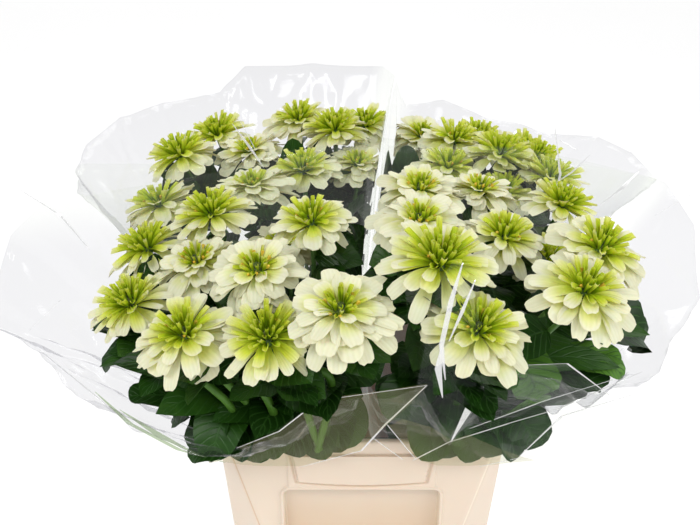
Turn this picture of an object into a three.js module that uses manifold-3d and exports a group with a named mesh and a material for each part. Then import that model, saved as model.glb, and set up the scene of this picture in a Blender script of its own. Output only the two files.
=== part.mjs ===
// A cream plastic flower bucket with four film-sleeved bunches of cut zinnias standing in water.
// Millimetres, +Z up. The origin is the centre of the bucket's base and the front faces -Y.
import * as THREE from "three";
import { mergeVertices } from "three/addons/utils/BufferGeometryUtils.js";
import Module from "manifold-3d";

const wasm = await Module();
wasm.setup();

// Bucket
const BUCKET_HEIGHT = 350;
const RIM_HALF_X = 148;
const RIM_HALF_Y = 190;
const RIM_BAND_HEIGHT = 16;
const RIM_BAND_OUT = 2.5;
const WALL = 3;
const FLOOR = 3;
const WALL_SLOPE = 0.025;
const CORNER_BEVEL_TOP = 13;
const CORNER_BEVEL_GROWTH = 0.24;
const CORNER_SOFTENING = 5;
const CORNER_PULL = 0.6;
const FOOT_ROUNDING = { inset: 2, height: 2.5 };
const RIM_ROUNDING = { inset: 2, height: 3 };
const RIM_BAND_STEP = { inset: 1, height: 0.5 };
const GRIP_HALF_TOP = 70;
const GRIP_HALF_BOTTOM = 65;
const GRIP_DROP = 35;
const GRIP_OUT = 4;
const GRIP_SINK = 1;
const RECESS_HALF_X = 80;
const RECESS_TOP = 289;
const RECESS_BOTTOM = 150;
const RECESS_CORNER = 8;
const RECESS_DEPTH = 1.2;
const CUT_PAST = 4;
const ARC_SEGMENTS = 3;

// Water
const WATER_LEVEL = 95;

// Stem bundles and their rubber bands
const GAP = 0.3;
const STEM_RADIUS = 2.7;
const STEM_SIDES = 5;
const STEM_STEPS = 3;
const STEM_RING_RADIUS = 9.2;
const BUNDLE_LOBE = 13.2;
const BUNDLE_GROOVE = 12;
const BUNDLE_TOP = 230;
const STEM_ROOT = 222;
const STEM_UPRIGHT = 145;
const STEM_LEAN = 100;
const BAND_LOW = 204;
const BAND_HEIGHT = 12;
const BAND_THICKNESS = 2;
const BAND_SIDES = 8;
const BUNDLE_CENTRE_X = 71.55;
const BUNDLE_CENTRE_Y = 92.5;

// Film sleeves
const FILM = 0.8;
const FILM_PARTING = 1.5;
const PARTING_HEIGHT = 200;
const PARTING_X = { shift: 16, turn: 0.08 };
const PARTING_Y = { shift: 2.5, turn: 0.18 };
const SLEEVE_FOOT = { height: 150, radius: 26 };
const SLEEVE_NECK_HEIGHT = 352;
const SLEEVE_NECK_X = 71;
const SLEEVE_NECK_Y = 91.5;
const SLEEVE_NECK_SQUARENESS = 4;
const SLEEVE_FLARE_STEPS = [0.34, 0.67, 1];
const SLEEVE_FLARE_BOWL = 1.25;

// Blooms
const DOME_CENTRE_Y = 50;
const DOME_LEAN = 0.0013;
const CALYX_DEPTH = 6;
const BLOOM_CLEARANCE = 0.5;
const PETAL_CLEAR_OF_FILM = 2;
const PETAL_THICKNESS = 0.9;
const BLOOM_SEED = 101;

const FINISHES = {
  bucket: { colour: 0xeadfcb, roughness: 0.45, opacity: 1 },
  water: { colour: 0xcfdcd8, roughness: 0.05, opacity: 0.6 },
  film: { colour: 0xe6eae8, roughness: 0.1, opacity: 0.35 },
  foliage: { colour: 0x3c5f2a, roughness: 0.6, opacity: 1 },
  band: { colour: 0x9a6a3c, roughness: 0.6, opacity: 1 },
  lime: { colour: 0xb9cf5a, roughness: 0.7, opacity: 1 },
  cream: { colour: 0xeeeed2, roughness: 0.7, opacity: 1 },
};

// The four bunches. sideX and sideY say which quarter of the bucket a bunch stands in, and leafSeed
// starts the draws of its upper leaves. Each bloom is [x, y, z, diameter, form]. The film edge is the free top edge of the sleeve on its outer sides,
// anticlockwise seen from above, and the two inner lists give the height of the film between
// bunches at places along it.
const BUNCHES = [
  {
    name: "front_left",
    sideX: -1,
    sideY: -1,
    leafSeed: 83,
    blooms: [
      [-20, -265, 535, 95, "open"],
      [-95, -200, 542, 88, "open"],
      [-82, -262, 508, 80, "spiky"],
      [-157, -238, 498, 92, "mixed"],
      [-222, -165, 492, 80, "spiky"],
      [-220, -90, 518, 80, "spiky"],
      [-161, -134, 521, 82, "open"],
      [-154, -75, 550, 84, "spiky"],
      [-50, -120, 558, 84, "mixed"],
      [-82, -70, 513, 78, "open"],
    ],
    filmEdge: [
      [-285, -64, 600], [-360, -84, 530], [-388, -114, 448], [-326, -150, 428], [-270, -195, 406],
      [-215, -222, 388], [-165, -232, 370], [-115, -230, 362], [-70, -228, 380], [-35, -224, 412],
      [-2, -212, 418],
    ],
    innerX: [[-180, 425], [-145, 455], [-92, 530], [-50, 580]],
    innerY: [[-40, 602], [-110, 596], [-190, 592]],
    innerCorner: [7, -13, 602],
  },
  {
    name: "back_left",
    sideX: -1,
    sideY: 1,
    leafSeed: 80,
    blooms: [
      [-235, 48, 514, 82, "mixed"],
      [-224, 138, 547, 82, "spiky"],
      [-192, 240, 544, 78, "spiky"],
      [-141, 174, 540, 80, "open"],
      [-124, 34, 540, 84, "open"],
      [-81, 228, 568, 80, "mixed"],
      [-31, 180, 568, 80, "spiky"],
      [8, 228, 560, 78, "mixed"],
      [-69, 99, 540, 82, "mixed"],
      [-3, 133, 535, 80, "open"],
    ],
    filmEdge: [
      [36, 322, 620], [-60, 338, 620], [-160, 325, 620], [-196, 312, 586], [-262, 262, 584],
      [-308, 190, 582], [-328, 100, 572], [-322, 20, 556], [-290, -50, 560],
    ],
    innerX: [[60, 606], [130, 612], [200, 616], [262, 620]],
    innerY: [[-205, 572], [-120, 582], [-45, 596]],
    innerCorner: [5, 14, 602],
  },
  {
    name: "front_right",
    sideX: 1,
    sideY: -1,
    leafSeed: 80,
    blooms: [
      [95, -270, 520, 92, "mixed"],
      [65, -234, 566, 98, "spiky"],
      [54, -140, 566, 90, "open"],
      [138, -128, 545, 84, "mixed"],
      [60, -67, 572, 84, "open"],
      [218, -175, 552, 94, "mixed"],
      [189, -240, 542, 90, "mixed"],
      [216, -30, 543, 82, "spiky"],
      [128, -20, 555, 78, "open"],
      [186, -102, 505, 80, "spiky"],
    ],
    filmEdge: [
      [12, -212, 416], [54, -222, 430], [84, -226, 374], [116, -228, 446], [180, -222, 446],
      [225, -208, 412], [290, -176, 424], [350, -100, 468], [366, -20, 516], [350, 42, 546],
    ],
    innerX: [[-50, 580], [-92, 530], [-145, 455], [-180, 425]],
    innerY: [[260, 566], [180, 586], [90, 596]],
    innerCorner: [29, -8, 602],
  },
  {
    name: "back_right",
    sideX: 1,
    sideY: 1,
    leafSeed: 80,
    blooms: [
      [84, 228, 545, 80, "open"],
      [122, 175, 555, 78, "mixed"],
      [165, 262, 530, 80, "spiky"],
      [173, 122, 552, 86, "spiky"],
      [107, 100, 542, 80, "mixed"],
      [227, 170, 531, 80, "spiky"],
      [172, 76, 519, 80, "mixed"],
      [230, 95, 531, 80, "spiky"],
      [228, 250, 518, 78, "mixed"],
      [114, 278, 510, 76, "mixed"],
    ],
    filmEdge: [
      [352, 72, 538], [340, 145, 550], [322, 225, 545], [275, 300, 530], [190, 330, 545],
      [122, 336, 569], [68, 322, 566],
    ],
    innerX: [[262, 612], [200, 614], [130, 612], [60, 606]],
    innerY: [[80, 592], [170, 584], [260, 562]],
    innerCorner: [24, 24, 602],
  },
];

// Leaves seen at the front, each [bunch, stem, root height, tip x, tip y, tip z, width]
const FRONT_LEAVES = [
  ["front_left", 4, 430, -268, -150, 462, 34],
  ["front_left", 3, 425, -240, -186, 444, 36],
  ["front_left", 3, 392, -196, -216, 408, 46],
  ["front_left", 2, 386, -144, -214, 398, 42],
  ["front_left", 2, 400, -102, -216, 424, 34],
  ["front_left", 0, 402, -58, -214, 438, 34],
  ["front_right", 5, 436, 286, -150, 462, 48],
  ["front_right", 6, 430, 252, -176, 438, 32],
  ["front_right", 6, 396, 196, -210, 420, 42],
  ["front_right", 0, 398, 132, -212, 428, 38],
  ["front_right", 1, 404, 34, -206, 442, 32],
];

// Petal forms. Each bloom has rings of petals from the outside in. count is the petals in a ring,
// rise the angle above the bloom's own plane in degrees, and reach the length as a share of the
// radius. Strap petals have shoulders and a blunt tip, wedge petals widen to a blunt tip, and quills
// are pointed. width is the widest part as a share of the room there, and tip the width of a strap's
// end as a share of its shoulders.
const FORMS = {
  open: {
    colour: "cream",
    count: 8,
    rings: [
      { shape: "strap", rise: -14, reach: 1, width: 0.9, tip: 0.66 },
      { shape: "wedge", rise: 12, reach: 0.86, width: 0.86 },
      { shape: "quill", rise: 42, reach: 0.5 },
    ],
  },
  mixed: {
    colour: "lime",
    count: 7,
    rings: [
      { shape: "strap", rise: -12, reach: 1, width: 0.88, tip: 0.6 },
      { shape: "wedge", rise: 14, reach: 0.9, width: 0.74 },
      { shape: "quill", rise: 40, reach: 0.78 },
      { shape: "quill", rise: 64, reach: 0.62 },
    ],
  },
  spiky: {
    colour: "lime",
    count: 7,
    rings: [
      { shape: "strap", rise: -10, reach: 1, width: 0.74, tip: 0.5 },
      { shape: "quill", rise: 18, reach: 0.94 },
      { shape: "quill", rise: 42, reach: 0.84 },
      { shape: "quill", rise: 66, reach: 0.7 },
    ],
  },
};
const HUB_RADII = [7, 8, 7.5, 6, 4];
const HUB_HEIGHTS = [-CALYX_DEPTH, -2, 2, 6, 9.5];
const SHOULDER_AT = 0.64;
const LENGTH_JITTER = 0.12;
const RISE_JITTER = 5;
const SHORTEST_PETAL = 17;
const NEIGHBOUR_REACH = 1.2;
const PETAL_SHORTENING = 0.94;
const CREST_AT = 0.9;
const CREST_LIFT = 1.4;
const BELLY_LIFT = 0.3;
const DISC_CROWN = 2.5;

// Leaf forms: stations along the leaf as [share of length, share of width]
const LARGE_LEAF = [[0.24, 0.74], [0.52, 1], [0.8, 0.62]];
const SMALL_LEAF = [[0.34, 0.94], [0.72, 0.74]];
const LEAF_FOLD = 0.14;
const LEAF_THICKNESS = 1.2;
const LEAF_ARCH = 0.14;
const LEAF_CLEAR_OF_BLOOM = 3;
const LEAF_CLEAR_OF_FILM = 4;
const LEAF_SHORTENING = 0.07;
const SHORTEST_LEAF = 0.5;
const SLIMMING_LAG = 0.1;

// The leaf that each stem carries higher up: least value and spread of its root height, of its
// bearing about the bundle, length, rise and width. Stems in turn root theirs a step higher.
const UPPER_LEAF = {
  root: [400, 38],
  rootStep: 12,
  bearing: [-0.8, 1.6],
  length: [62, 26],
  rise: [8, 24],
  width: [28, 10],
};

const Z_AXIS = new THREE.Vector3(0, 0, 1);

function radians(degrees) {
  return THREE.MathUtils.degToRad(degrees);
}

// A seeded random number maker, so that every build is the same.
function seededRandom(seed) {
  let state = seed >>> 0;
  return () => {
    state = (state + 0x6d2b79f5) >>> 0;
    let mixed = Math.imul(state ^ (state >>> 15), state | 1);
    mixed ^= mixed + Math.imul(mixed ^ (mixed >>> 7), mixed | 61);
    return ((mixed ^ (mixed >>> 14)) >>> 0) / 4294967296;
  };
}

function indexedGeometry(points, faces) {
  const geometry = new THREE.BufferGeometry();
  const numbers = points.flatMap((point) => [point.x, point.y, point.z]);
  geometry.setAttribute("position", new THREE.Float32BufferAttribute(numbers, 3));
  geometry.setIndex(faces.flat());
  return geometry;
}

function toSolid(geometry) {
  const bare = geometry.clone();
  bare.deleteAttribute("normal");
  bare.deleteAttribute("uv");
  const merged = mergeVertices(bare, 1e-4);
  const vertProperties = Float32Array.from(merged.attributes.position.array);
  const triVerts = Uint32Array.from(merged.index.array);
  return new wasm.Manifold(new wasm.Mesh({ numProp: 3, vertProperties, triVerts }));
}

function toGeometry(solid) {
  const mesh = solid.getMesh();
  const geometry = new THREE.BufferGeometry();
  geometry.setAttribute("position", new THREE.BufferAttribute(mesh.vertProperties, 3));
  geometry.setIndex(new THREE.BufferAttribute(mesh.triVerts, 1));
  return geometry;
}

// Fusing can leave a loose scrap or seal a small hollow: only the main outer skin is kept.
function mainBody(solid) {
  return solid.decompose().reduce((best, part) => (part.volume() > best.volume() ? part : best));
}

function namedMesh(name, geometry, finish) {
  const { colour, roughness, opacity } = FINISHES[finish];
  const material = new THREE.MeshStandardMaterial({ color: colour, roughness, metalness: 0 });
  material.transparent = opacity < 1;
  material.opacity = opacity;
  const mesh = new THREE.Mesh(geometry, material);
  mesh.name = name;
  return mesh;
}

// Joins equal rings of points, listed anticlockwise seen from above while they rise, into one
// closed body with a flat or fanned cap at each end.
function loft(rings) {
  const count = rings[0].length;
  const points = rings.flat();
  const faces = [];
  for (let level = 0; level < rings.length - 1; level += 1) {
    for (let i = 0; i < count; i += 1) {
      const a = level * count + i;
      const b = level * count + ((i + 1) % count);
      faces.push([a, b, b + count], [a, b + count, a + count]);
    }
  }
  const last = (rings.length - 1) * count;
  for (let i = 1; i < count - 1; i += 1) {
    faces.push([0, i + 1, i], [last, last + i, last + i + 1]);
  }
  return indexedGeometry(points, faces);
}

// The bucket's outline at one height: a rectangle with bevelled corners, each bevel end softened.
function bucketSection(halfX, halfY, bevel, z) {
  const soft = CORNER_SOFTENING;
  const pull = soft * CORNER_PULL;
  const bevelled = [
    [halfX, halfY - bevel - soft], [halfX - pull, halfY - bevel + pull],
    [halfX - bevel + pull, halfY - pull], [halfX - bevel - soft, halfY],
  ];
  const mirrored = bevelled.map(([x, y]) => [-x, y]).reverse();
  const opposite = [...bevelled, ...mirrored].map(([x, y]) => [-x, -y]);
  return [...bevelled, ...mirrored, ...opposite].map(([x, y]) => new THREE.Vector3(x, y, z));
}

// The section of the wall at height z, moved inwards by inset.
function wallSection(z, inset) {
  const below = BUCKET_HEIGHT - RIM_BAND_HEIGHT - z;
  const halfX = RIM_HALF_X - RIM_BAND_OUT - below * WALL_SLOPE - inset;
  const halfY = RIM_HALF_Y - RIM_BAND_OUT - below * WALL_SLOPE - inset;
  const bevel = CORNER_BEVEL_TOP + Math.max(below, 0) * CORNER_BEVEL_GROWTH;
  return bucketSection(halfX, halfY, bevel, z);
}

// A flat plate of the given outline, laid on the sloping front wall. low and high are how far its
// back and its front stand out of the wall.
function plateOnFrontWall(shape, low, high) {
  const settings = { depth: high - low, bevelEnabled: false, curveSegments: ARC_SEGMENTS };
  const plate = new THREE.ExtrudeGeometry(shape, settings);
  const corner = plate.attributes.position;
  for (let i = 0; i < corner.count; i += 1) {
    const z = corner.getY(i);
    const out = low + corner.getZ(i);
    const below = BUCKET_HEIGHT - RIM_BAND_HEIGHT - z;
    const wallY = RIM_HALF_Y - RIM_BAND_OUT - below * WALL_SLOPE;
    corner.setXYZ(i, corner.getX(i), -(wallY + out), z);
  }
  return plate;
}

function gripShape() {
  const top = BUCKET_HEIGHT - RIM_BAND_HEIGHT + RIM_ROUNDING.inset;
  const bottom = BUCKET_HEIGHT - RIM_BAND_HEIGHT - GRIP_DROP;
  return new THREE.Shape([
    new THREE.Vector2(-GRIP_HALF_TOP, top),
    new THREE.Vector2(-GRIP_HALF_BOTTOM, bottom),
    new THREE.Vector2(GRIP_HALF_BOTTOM, bottom),
    new THREE.Vector2(GRIP_HALF_TOP, top),
  ]);
}

function recessShape() {
  const shape = new THREE.Shape();
  const round = RECESS_CORNER;
  shape.moveTo(-RECESS_HALF_X + round, RECESS_BOTTOM);
  shape.lineTo(RECESS_HALF_X - round, RECESS_BOTTOM);
  shape.absarc(RECESS_HALF_X - round, RECESS_BOTTOM + round, round, -Math.PI / 2, 0);
  shape.lineTo(RECESS_HALF_X, RECESS_TOP - round);
  shape.absarc(RECESS_HALF_X - round, RECESS_TOP - round, round, 0, Math.PI / 2);
  shape.lineTo(-RECESS_HALF_X + round, RECESS_TOP);
  shape.absarc(-RECESS_HALF_X + round, RECESS_TOP - round, round, Math.PI / 2, Math.PI);
  shape.lineTo(-RECESS_HALF_X, RECESS_BOTTOM + round);
  shape.absarc(-RECESS_HALF_X + round, RECESS_BOTTOM + round, round, Math.PI, Math.PI * 1.5);
  return shape;
}

function makeBucket() {
  const bandFoot = BUCKET_HEIGHT - RIM_BAND_HEIGHT;
  const rimSection = (inset, z) =>
    bucketSection(RIM_HALF_X - inset, RIM_HALF_Y - inset, CORNER_BEVEL_TOP, z);
  const cup = loft([
    wallSection(0, FOOT_ROUNDING.inset),
    wallSection(FOOT_ROUNDING.height, 0),
    wallSection(bandFoot, 0),
    rimSection(RIM_BAND_STEP.inset, bandFoot + RIM_BAND_STEP.height),
    rimSection(0, BUCKET_HEIGHT - RIM_ROUNDING.height),
    rimSection(RIM_ROUNDING.inset, BUCKET_HEIGHT),
    rimSection(RIM_BAND_OUT + WALL, BUCKET_HEIGHT),
    wallSection(bandFoot, WALL),
    wallSection(FLOOR, WALL),
  ]);
  const grip = toSolid(plateOnFrontWall(gripShape(), -GRIP_SINK, GRIP_OUT));
  const recess = toSolid(plateOnFrontWall(recessShape(), -RECESS_DEPTH, CUT_PAST));
  const solid = toSolid(cup).add(grip).subtract(recess);
  return namedMesh("bucket", toGeometry(solid), "bucket");
}

function bundleCentre(bunch) {
  return new THREE.Vector2(bunch.sideX * BUNDLE_CENTRE_X, bunch.sideY * BUNDLE_CENTRE_Y);
}

function circleRing(centre, radius, sides, z) {
  return Array.from({ length: sides }, (_, i) => {
    const turn = (i / sides) * 2 * Math.PI;
    return new THREE.Vector3(centre.x + radius * Math.cos(turn), centre.y + radius * Math.sin(turn), z);
  });
}

function makeWater() {
  const low = FLOOR + GAP;
  let solid = toSolid(loft([wallSection(low, WALL + GAP), wallSection(WATER_LEVEL, WALL + GAP)]));
  const holeRadius = (BUNDLE_LOBE + GAP) / Math.cos(Math.PI / BAND_SIDES);
  for (const bunch of BUNCHES) {
    const centre = bundleCentre(bunch);
    const hole = loft([
      circleRing(centre, holeRadius, BAND_SIDES, low - CUT_PAST),
      circleRing(centre, holeRadius, BAND_SIDES, WATER_LEVEL + CUT_PAST),
    ]);
    solid = solid.subtract(toSolid(hole));
  }
  return namedMesh("water", toGeometry(solid), "water");
}

function makeBand(bunch) {
  const inner = (BUNDLE_LOBE + GAP) / Math.cos(Math.PI / BAND_SIDES);
  const outer = inner + BAND_THICKNESS;
  const profile = [
    new THREE.Vector2(inner, 0),
    new THREE.Vector2(outer, 0),
    new THREE.Vector2(outer, BAND_HEIGHT),
    new THREE.Vector2(inner, BAND_HEIGHT),
    new THREE.Vector2(inner, 0),
  ];
  const ring = new THREE.LatheGeometry(profile, BAND_SIDES);
  ring.rotateX(Math.PI / 2);
  const centre = bundleCentre(bunch);
  ring.translate(centre.x, centre.y, BAND_LOW);
  return namedMesh(`band_${bunch.name}`, ring, "band");
}

// The two surfaces that part the bunches above the rim: x between left and right, y between front
// and back. Both start on the bucket's middle and lean a little as they rise.
function partingX(y, z) {
  return ((z - BUCKET_HEIGHT) / PARTING_HEIGHT) * (PARTING_X.shift + PARTING_X.turn * y);
}

function partingY(x, z) {
  return ((z - BUCKET_HEIGHT) / PARTING_HEIGHT) * (PARTING_Y.shift + PARTING_Y.turn * x);
}

// The free top edge of a sleeve, all the way round, as columns of azimuth, reach and height about
// the bunch's own upright axis.
function sleeveColumns(bunch) {
  const centre = bundleCentre(bunch);
  const points = [...bunch.filmEdge, bunch.innerCorner];
  for (const [y, z] of bunch.innerX) {
    points.push([partingX(y, z) + bunch.sideX * FILM_PARTING, y, z]);
  }
  for (const [x, z] of bunch.innerY) {
    points.push([x, partingY(x, z) + bunch.sideY * FILM_PARTING, z]);
  }
  const columns = points.map(([x, y, z]) => {
    const offset = new THREE.Vector2(x, y).sub(centre);
    return { azimuth: offset.angle(), reach: offset.length(), height: z };
  });
  return columns.sort((one, other) => one.azimuth - other.azimuth);
}

// The sleeve's neck is a square-shouldered oval that fills a quarter of the bucket's mouth.
function neckReach(azimuth) {
  const power = SLEEVE_NECK_SQUARENESS;
  const alongX = Math.abs(Math.cos(azimuth) / SLEEVE_NECK_X) ** power;
  const alongY = Math.abs(Math.sin(azimuth) / SLEEVE_NECK_Y) ** power;
  return (alongX + alongY) ** (-1 / power);
}

// Reach and height of the film at share t of its flare, from the neck to the free edge.
function flarePoint(column, t) {
  const neck = neckReach(column.azimuth);
  const reach = neck + (column.reach - neck) * t;
  const height = SLEEVE_NECK_HEIGHT + (column.height - SLEEVE_NECK_HEIGHT) * t ** SLEEVE_FLARE_BOWL;
  return { reach, height };
}

function sleeveRings(bunch) {
  const centre = bundleCentre(bunch);
  const columns = sleeveColumns(bunch);
  const place = (azimuth, reach, z) =>
    new THREE.Vector3(centre.x + reach * Math.cos(azimuth), centre.y + reach * Math.sin(azimuth), z);
  const foot = columns.map((column) => place(column.azimuth, SLEEVE_FOOT.radius, SLEEVE_FOOT.height));
  const rings = [foot];
  for (const t of [0, ...SLEEVE_FLARE_STEPS]) {
    rings.push(columns.map((column) => {
      const { reach, height } = flarePoint(column, t);
      return place(column.azimuth, reach, height);
    }));
  }
  return rings;
}

// Each outer point gets an inner partner, moved along the surface's own normal by the film's
// thickness, and the two skins are closed at the foot and at the free edge.
function makeSleeve(bunch) {
  const outer = sleeveRings(bunch);
  const levels = outer.length;
  const count = outer[0].length;
  const inner = outer.map((ring, level) => ring.map((point, i) => {
    const below = outer[Math.max(level - 1, 0)][i];
    const along = outer[Math.min(level + 1, levels - 1)][i].clone().sub(below);
    const around = ring[(i + 1) % count].clone().sub(ring[(i + count - 1) % count]);
    const inward = along.cross(around).normalize();
    return point.clone().addScaledVector(inward, FILM);
  }));
  const points = [...outer.flat(), ...inner.flat()];
  const skin = levels * count;
  const faces = [];
  for (let i = 0; i < count; i += 1) {
    const next = (i + 1) % count;
    for (let level = 0; level < levels - 1; level += 1) {
      const a = level * count + i;
      const b = level * count + next;
      faces.push([a, b, b + count], [a, b + count, a + count]);
      faces.push([skin + a, skin + b + count, skin + b], [skin + a, skin + a + count, skin + b + count]);
    }
    const top = (levels - 1) * count;
    faces.push([i, skin + i, skin + next], [i, skin + next, next]);
    faces.push([top + i, top + next, skin + top + next], [top + i, skin + top + next, skin + top + i]);
  }
  return namedMesh(`sleeve_${bunch.name}`, indexedGeometry(points, faces), "film");
}

// The reach of one column of the film at height z, along the straight facets between its levels.
function reachAtHeight(column, z) {
  let lower = flarePoint(column, 0);
  for (const t of SLEEVE_FLARE_STEPS) {
    const upper = flarePoint(column, t);
    if (z <= upper.height) {
      const share = Math.max(z - lower.height, 0) / (upper.height - lower.height);
      return THREE.MathUtils.lerp(lower.reach, upper.reach, share);
    }
    lower = upper;
  }
  return lower.reach;
}

const FILM_COLUMNS = new Map(BUNCHES.map((bunch) => [bunch.name, sleeveColumns(bunch)]));

// True where a point keeps the given distance from a sleeve's film and lies on the wanted side of
// it. Above the free edge there is no film. The film's section at the point's height is a polygon
// with a corner at each column.
function clearOfSleeve(bunch, point, distance, wantInside) {
  const columns = FILM_COLUMNS.get(bunch.name);
  const from = new THREE.Vector2(point.x, point.y).sub(bundleCentre(bunch));
  const corners = columns.map((column) => {
    const reach = reachAtHeight(column, point.z);
    return new THREE.Vector2(reach * Math.cos(column.azimuth), reach * Math.sin(column.azimuth));
  });
  let inside = false;
  let covered = false;
  for (let i = 0; i < corners.length; i += 1) {
    const next = (i + 1) % corners.length;
    const [one, two] = [corners[i], corners[next]];
    const side = two.clone().sub(one);
    const share = THREE.MathUtils.clamp(from.clone().sub(one).dot(side) / side.lengthSq(), 0, 1);
    const edge = THREE.MathUtils.lerp(columns[i].height, columns[next].height, share);
    const exists = point.z < edge + distance;
    if (exists && one.clone().addScaledVector(side, share).distanceTo(from) < distance) {
      return false;
    }
    if (one.y > from.y !== two.y > from.y) {
      const crossing = one.x + ((from.y - one.y) / side.y) * side.x;
      inside = from.x < crossing ? !inside : inside;
    }
    const start = columns[i].azimuth;
    const past = THREE.MathUtils.euclideanModulo(from.angle() - start, 2 * Math.PI);
    const span = THREE.MathUtils.euclideanModulo(columns[next].azimuth - start, 2 * Math.PI);
    covered = covered || (past <= span && exists);
  }
  return !covered || inside === wantInside;
}

function clearOfFilm(bunch, point, distance) {
  return BUNCHES.every((other) => clearOfSleeve(other, point, distance, other === bunch));
}

// A bloom's place, size and the way it faces: outwards from the middle of the whole display.
const BLOOMS = BUNCHES.flatMap((bunch) => bunch.blooms.map(([x, y, z, diameter, form], i) => ({
  bunch,
  name: `bloom_${bunch.name}_${String(i + 1).padStart(2, "0")}`,
  centre: new THREE.Vector3(x, y, z),
  radius: diameter / 2,
  form: FORMS[form],
  axis: new THREE.Vector3(x * DOME_LEAN, (y - DOME_CENTRE_Y) * DOME_LEAN, 1).normalize(),
})));

// Neighbouring blooms part the room between them in proportion to their sizes.
function insideOwnRoom(bloom, point) {
  return BLOOMS.every((other) => {
    if (other === bloom) {
      return true;
    }
    const away = other.centre.clone().sub(bloom.centre);
    const distance = away.length();
    if (distance > (bloom.radius + other.radius) * NEIGHBOUR_REACH) {
      return true;
    }
    const share = bloom.radius / (bloom.radius + other.radius);
    return point.clone().sub(bloom.centre).dot(away) / distance < distance * share - BLOOM_CLEARANCE;
  });
}

// The line of a stem from the bundle to the calyx: upright at the bundle, along the bloom's axis at
// the top. A stem stands on the side of the bundle that its bloom leans to.
function stemCurve(bloom) {
  const centre = bundleCentre(bloom.bunch);
  const azimuth = (other) => new THREE.Vector2(other.centre.x, other.centre.y).sub(centre).angle();
  const bunch = BLOOMS.filter((other) => other.bunch === bloom.bunch);
  const place = bunch.filter((other) => azimuth(other) < azimuth(bloom)).length;
  const turn = (place / bunch.length) * 2 * Math.PI;
  const foot = new THREE.Vector3(
    centre.x + STEM_RING_RADIUS * Math.cos(turn),
    centre.y + STEM_RING_RADIUS * Math.sin(turn),
    STEM_ROOT,
  );
  const top = bloom.centre.clone().addScaledVector(bloom.axis, -(CALYX_DEPTH + GAP));
  return new THREE.CubicBezierCurve3(
    foot,
    foot.clone().add(new THREE.Vector3(0, 0, STEM_UPRIGHT)),
    top.clone().addScaledVector(bloom.axis, -STEM_LEAN),
    top,
  );
}

function stemRing(centre, direction, start) {
  const side = new THREE.Vector3(1, 0, 0).addScaledVector(direction, -direction.x).normalize();
  const back = direction.clone().cross(side);
  return Array.from({ length: STEM_SIDES }, (_, i) => {
    const turn = start + (i / STEM_SIDES) * 2 * Math.PI;
    return centre.clone().addScaledVector(side, STEM_RADIUS * Math.cos(turn))
      .addScaledVector(back, STEM_RADIUS * Math.sin(turn));
  });
}

// Below the tie the ten stems are pressed together: one body with a lobe for each stem.
function makeBundle(bunch) {
  const centre = bundleCentre(bunch);
  const lobes = bunch.blooms.length;
  const section = (z) => Array.from({ length: lobes * 2 }, (_, i) => {
    const turn = (i / (lobes * 2)) * 2 * Math.PI;
    const radius = i % 2 ? BUNDLE_GROOVE : BUNDLE_LOBE;
    return new THREE.Vector3(centre.x + radius * Math.cos(turn), centre.y + radius * Math.sin(turn), z);
  });
  return toSolid(loft([section(FLOOR + GAP), section(BUNDLE_TOP)]));
}

function makeStem(bunch, curve) {
  const foot = curve.getPoint(0);
  const start = new THREE.Vector2(foot.x, foot.y).sub(bundleCentre(bunch)).angle();
  const rings = [];
  for (let step = 0; step <= STEM_STEPS; step += 1) {
    const t = step / STEM_STEPS;
    rings.push(stemRing(curve.getPoint(t), curve.getTangent(t), start));
  }
  return toSolid(loft(rings));
}

function stemPointAtHeight(curve, z) {
  let low = 0;
  let high = 1;
  for (let step = 0; step < 20; step += 1) {
    const middle = (low + high) / 2;
    if (curve.getPoint(middle).z < z) {
      low = middle;
    } else {
      high = middle;
    }
  }
  return curve.getPoint(low);
}

// A leaf as a closed blade folded along its midrib: a root point in the stem, stations with a left
// edge, a crest, a right edge and an underside each, and a pointed tip.
function leafPoints(root, tip, width, stations) {
  const length = tip.distanceTo(root);
  const arch = root.clone().lerp(tip, 0.5).addScaledVector(Z_AXIS, length * LEAF_ARCH);
  const rib = new THREE.QuadraticBezierCurve3(root, arch, tip);
  const points = [root.clone()];
  for (const [along, share] of stations) {
    const centre = rib.getPoint(along);
    const side = rib.getTangent(along).cross(Z_AXIS).normalize();
    const up = side.clone().cross(rib.getTangent(along)).normalize();
    const half = (width / 2) * share;
    const fold = width * share * LEAF_FOLD;
    points.push(
      centre.clone().addScaledVector(side, -half).addScaledVector(up, fold),
      centre.clone().addScaledVector(up, LEAF_THICKNESS / 2),
      centre.clone().addScaledVector(side, half).addScaledVector(up, fold),
      centre.clone().addScaledVector(up, -LEAF_THICKNESS / 2),
    );
  }
  points.push(tip.clone());
  return points;
}

// The facets of a leaf. Above and below the blade they split along like diagonals, from the edge
// nearer the root to the crest or underside nearer the tip, so that the two faces never cross.
function leafFaces(stations) {
  const faces = [];
  const last = stations.length * 4 + 1;
  for (let corner = 0; corner < 4; corner += 1) {
    const next = (corner + 1) % 4;
    faces.push([0, 1 + next, 1 + corner]);
    for (let station = 0; station < stations.length - 1; station += 1) {
      const a = 1 + station * 4 + corner;
      const b = 1 + station * 4 + next;
      if (corner % 2) {
        faces.push([a, b, a + 4], [b, b + 4, a + 4]);
      } else {
        faces.push([a, b + 4, a + 4], [a, b, b + 4]);
      }
    }
    faces.push([last - 4 + corner, last - 4 + next, last]);
  }
  return faces;
}

// True where a leaf keeps clear of every bloom and of every sleeve's film.
function leafIsClear(bunch, points) {
  const samples = points.slice(1);
  for (let i = 1; i + 4 < points.length; i += 1) {
    samples.push(points[i].clone().lerp(points[i + 4], 0.5));
  }
  return samples.every((point) =>
    clearOfFilm(bunch, point, LEAF_CLEAR_OF_FILM)
    && BLOOMS.every((bloom) => point.distanceTo(bloom.centre) > bloom.radius + LEAF_CLEAR_OF_BLOOM));
}

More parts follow.
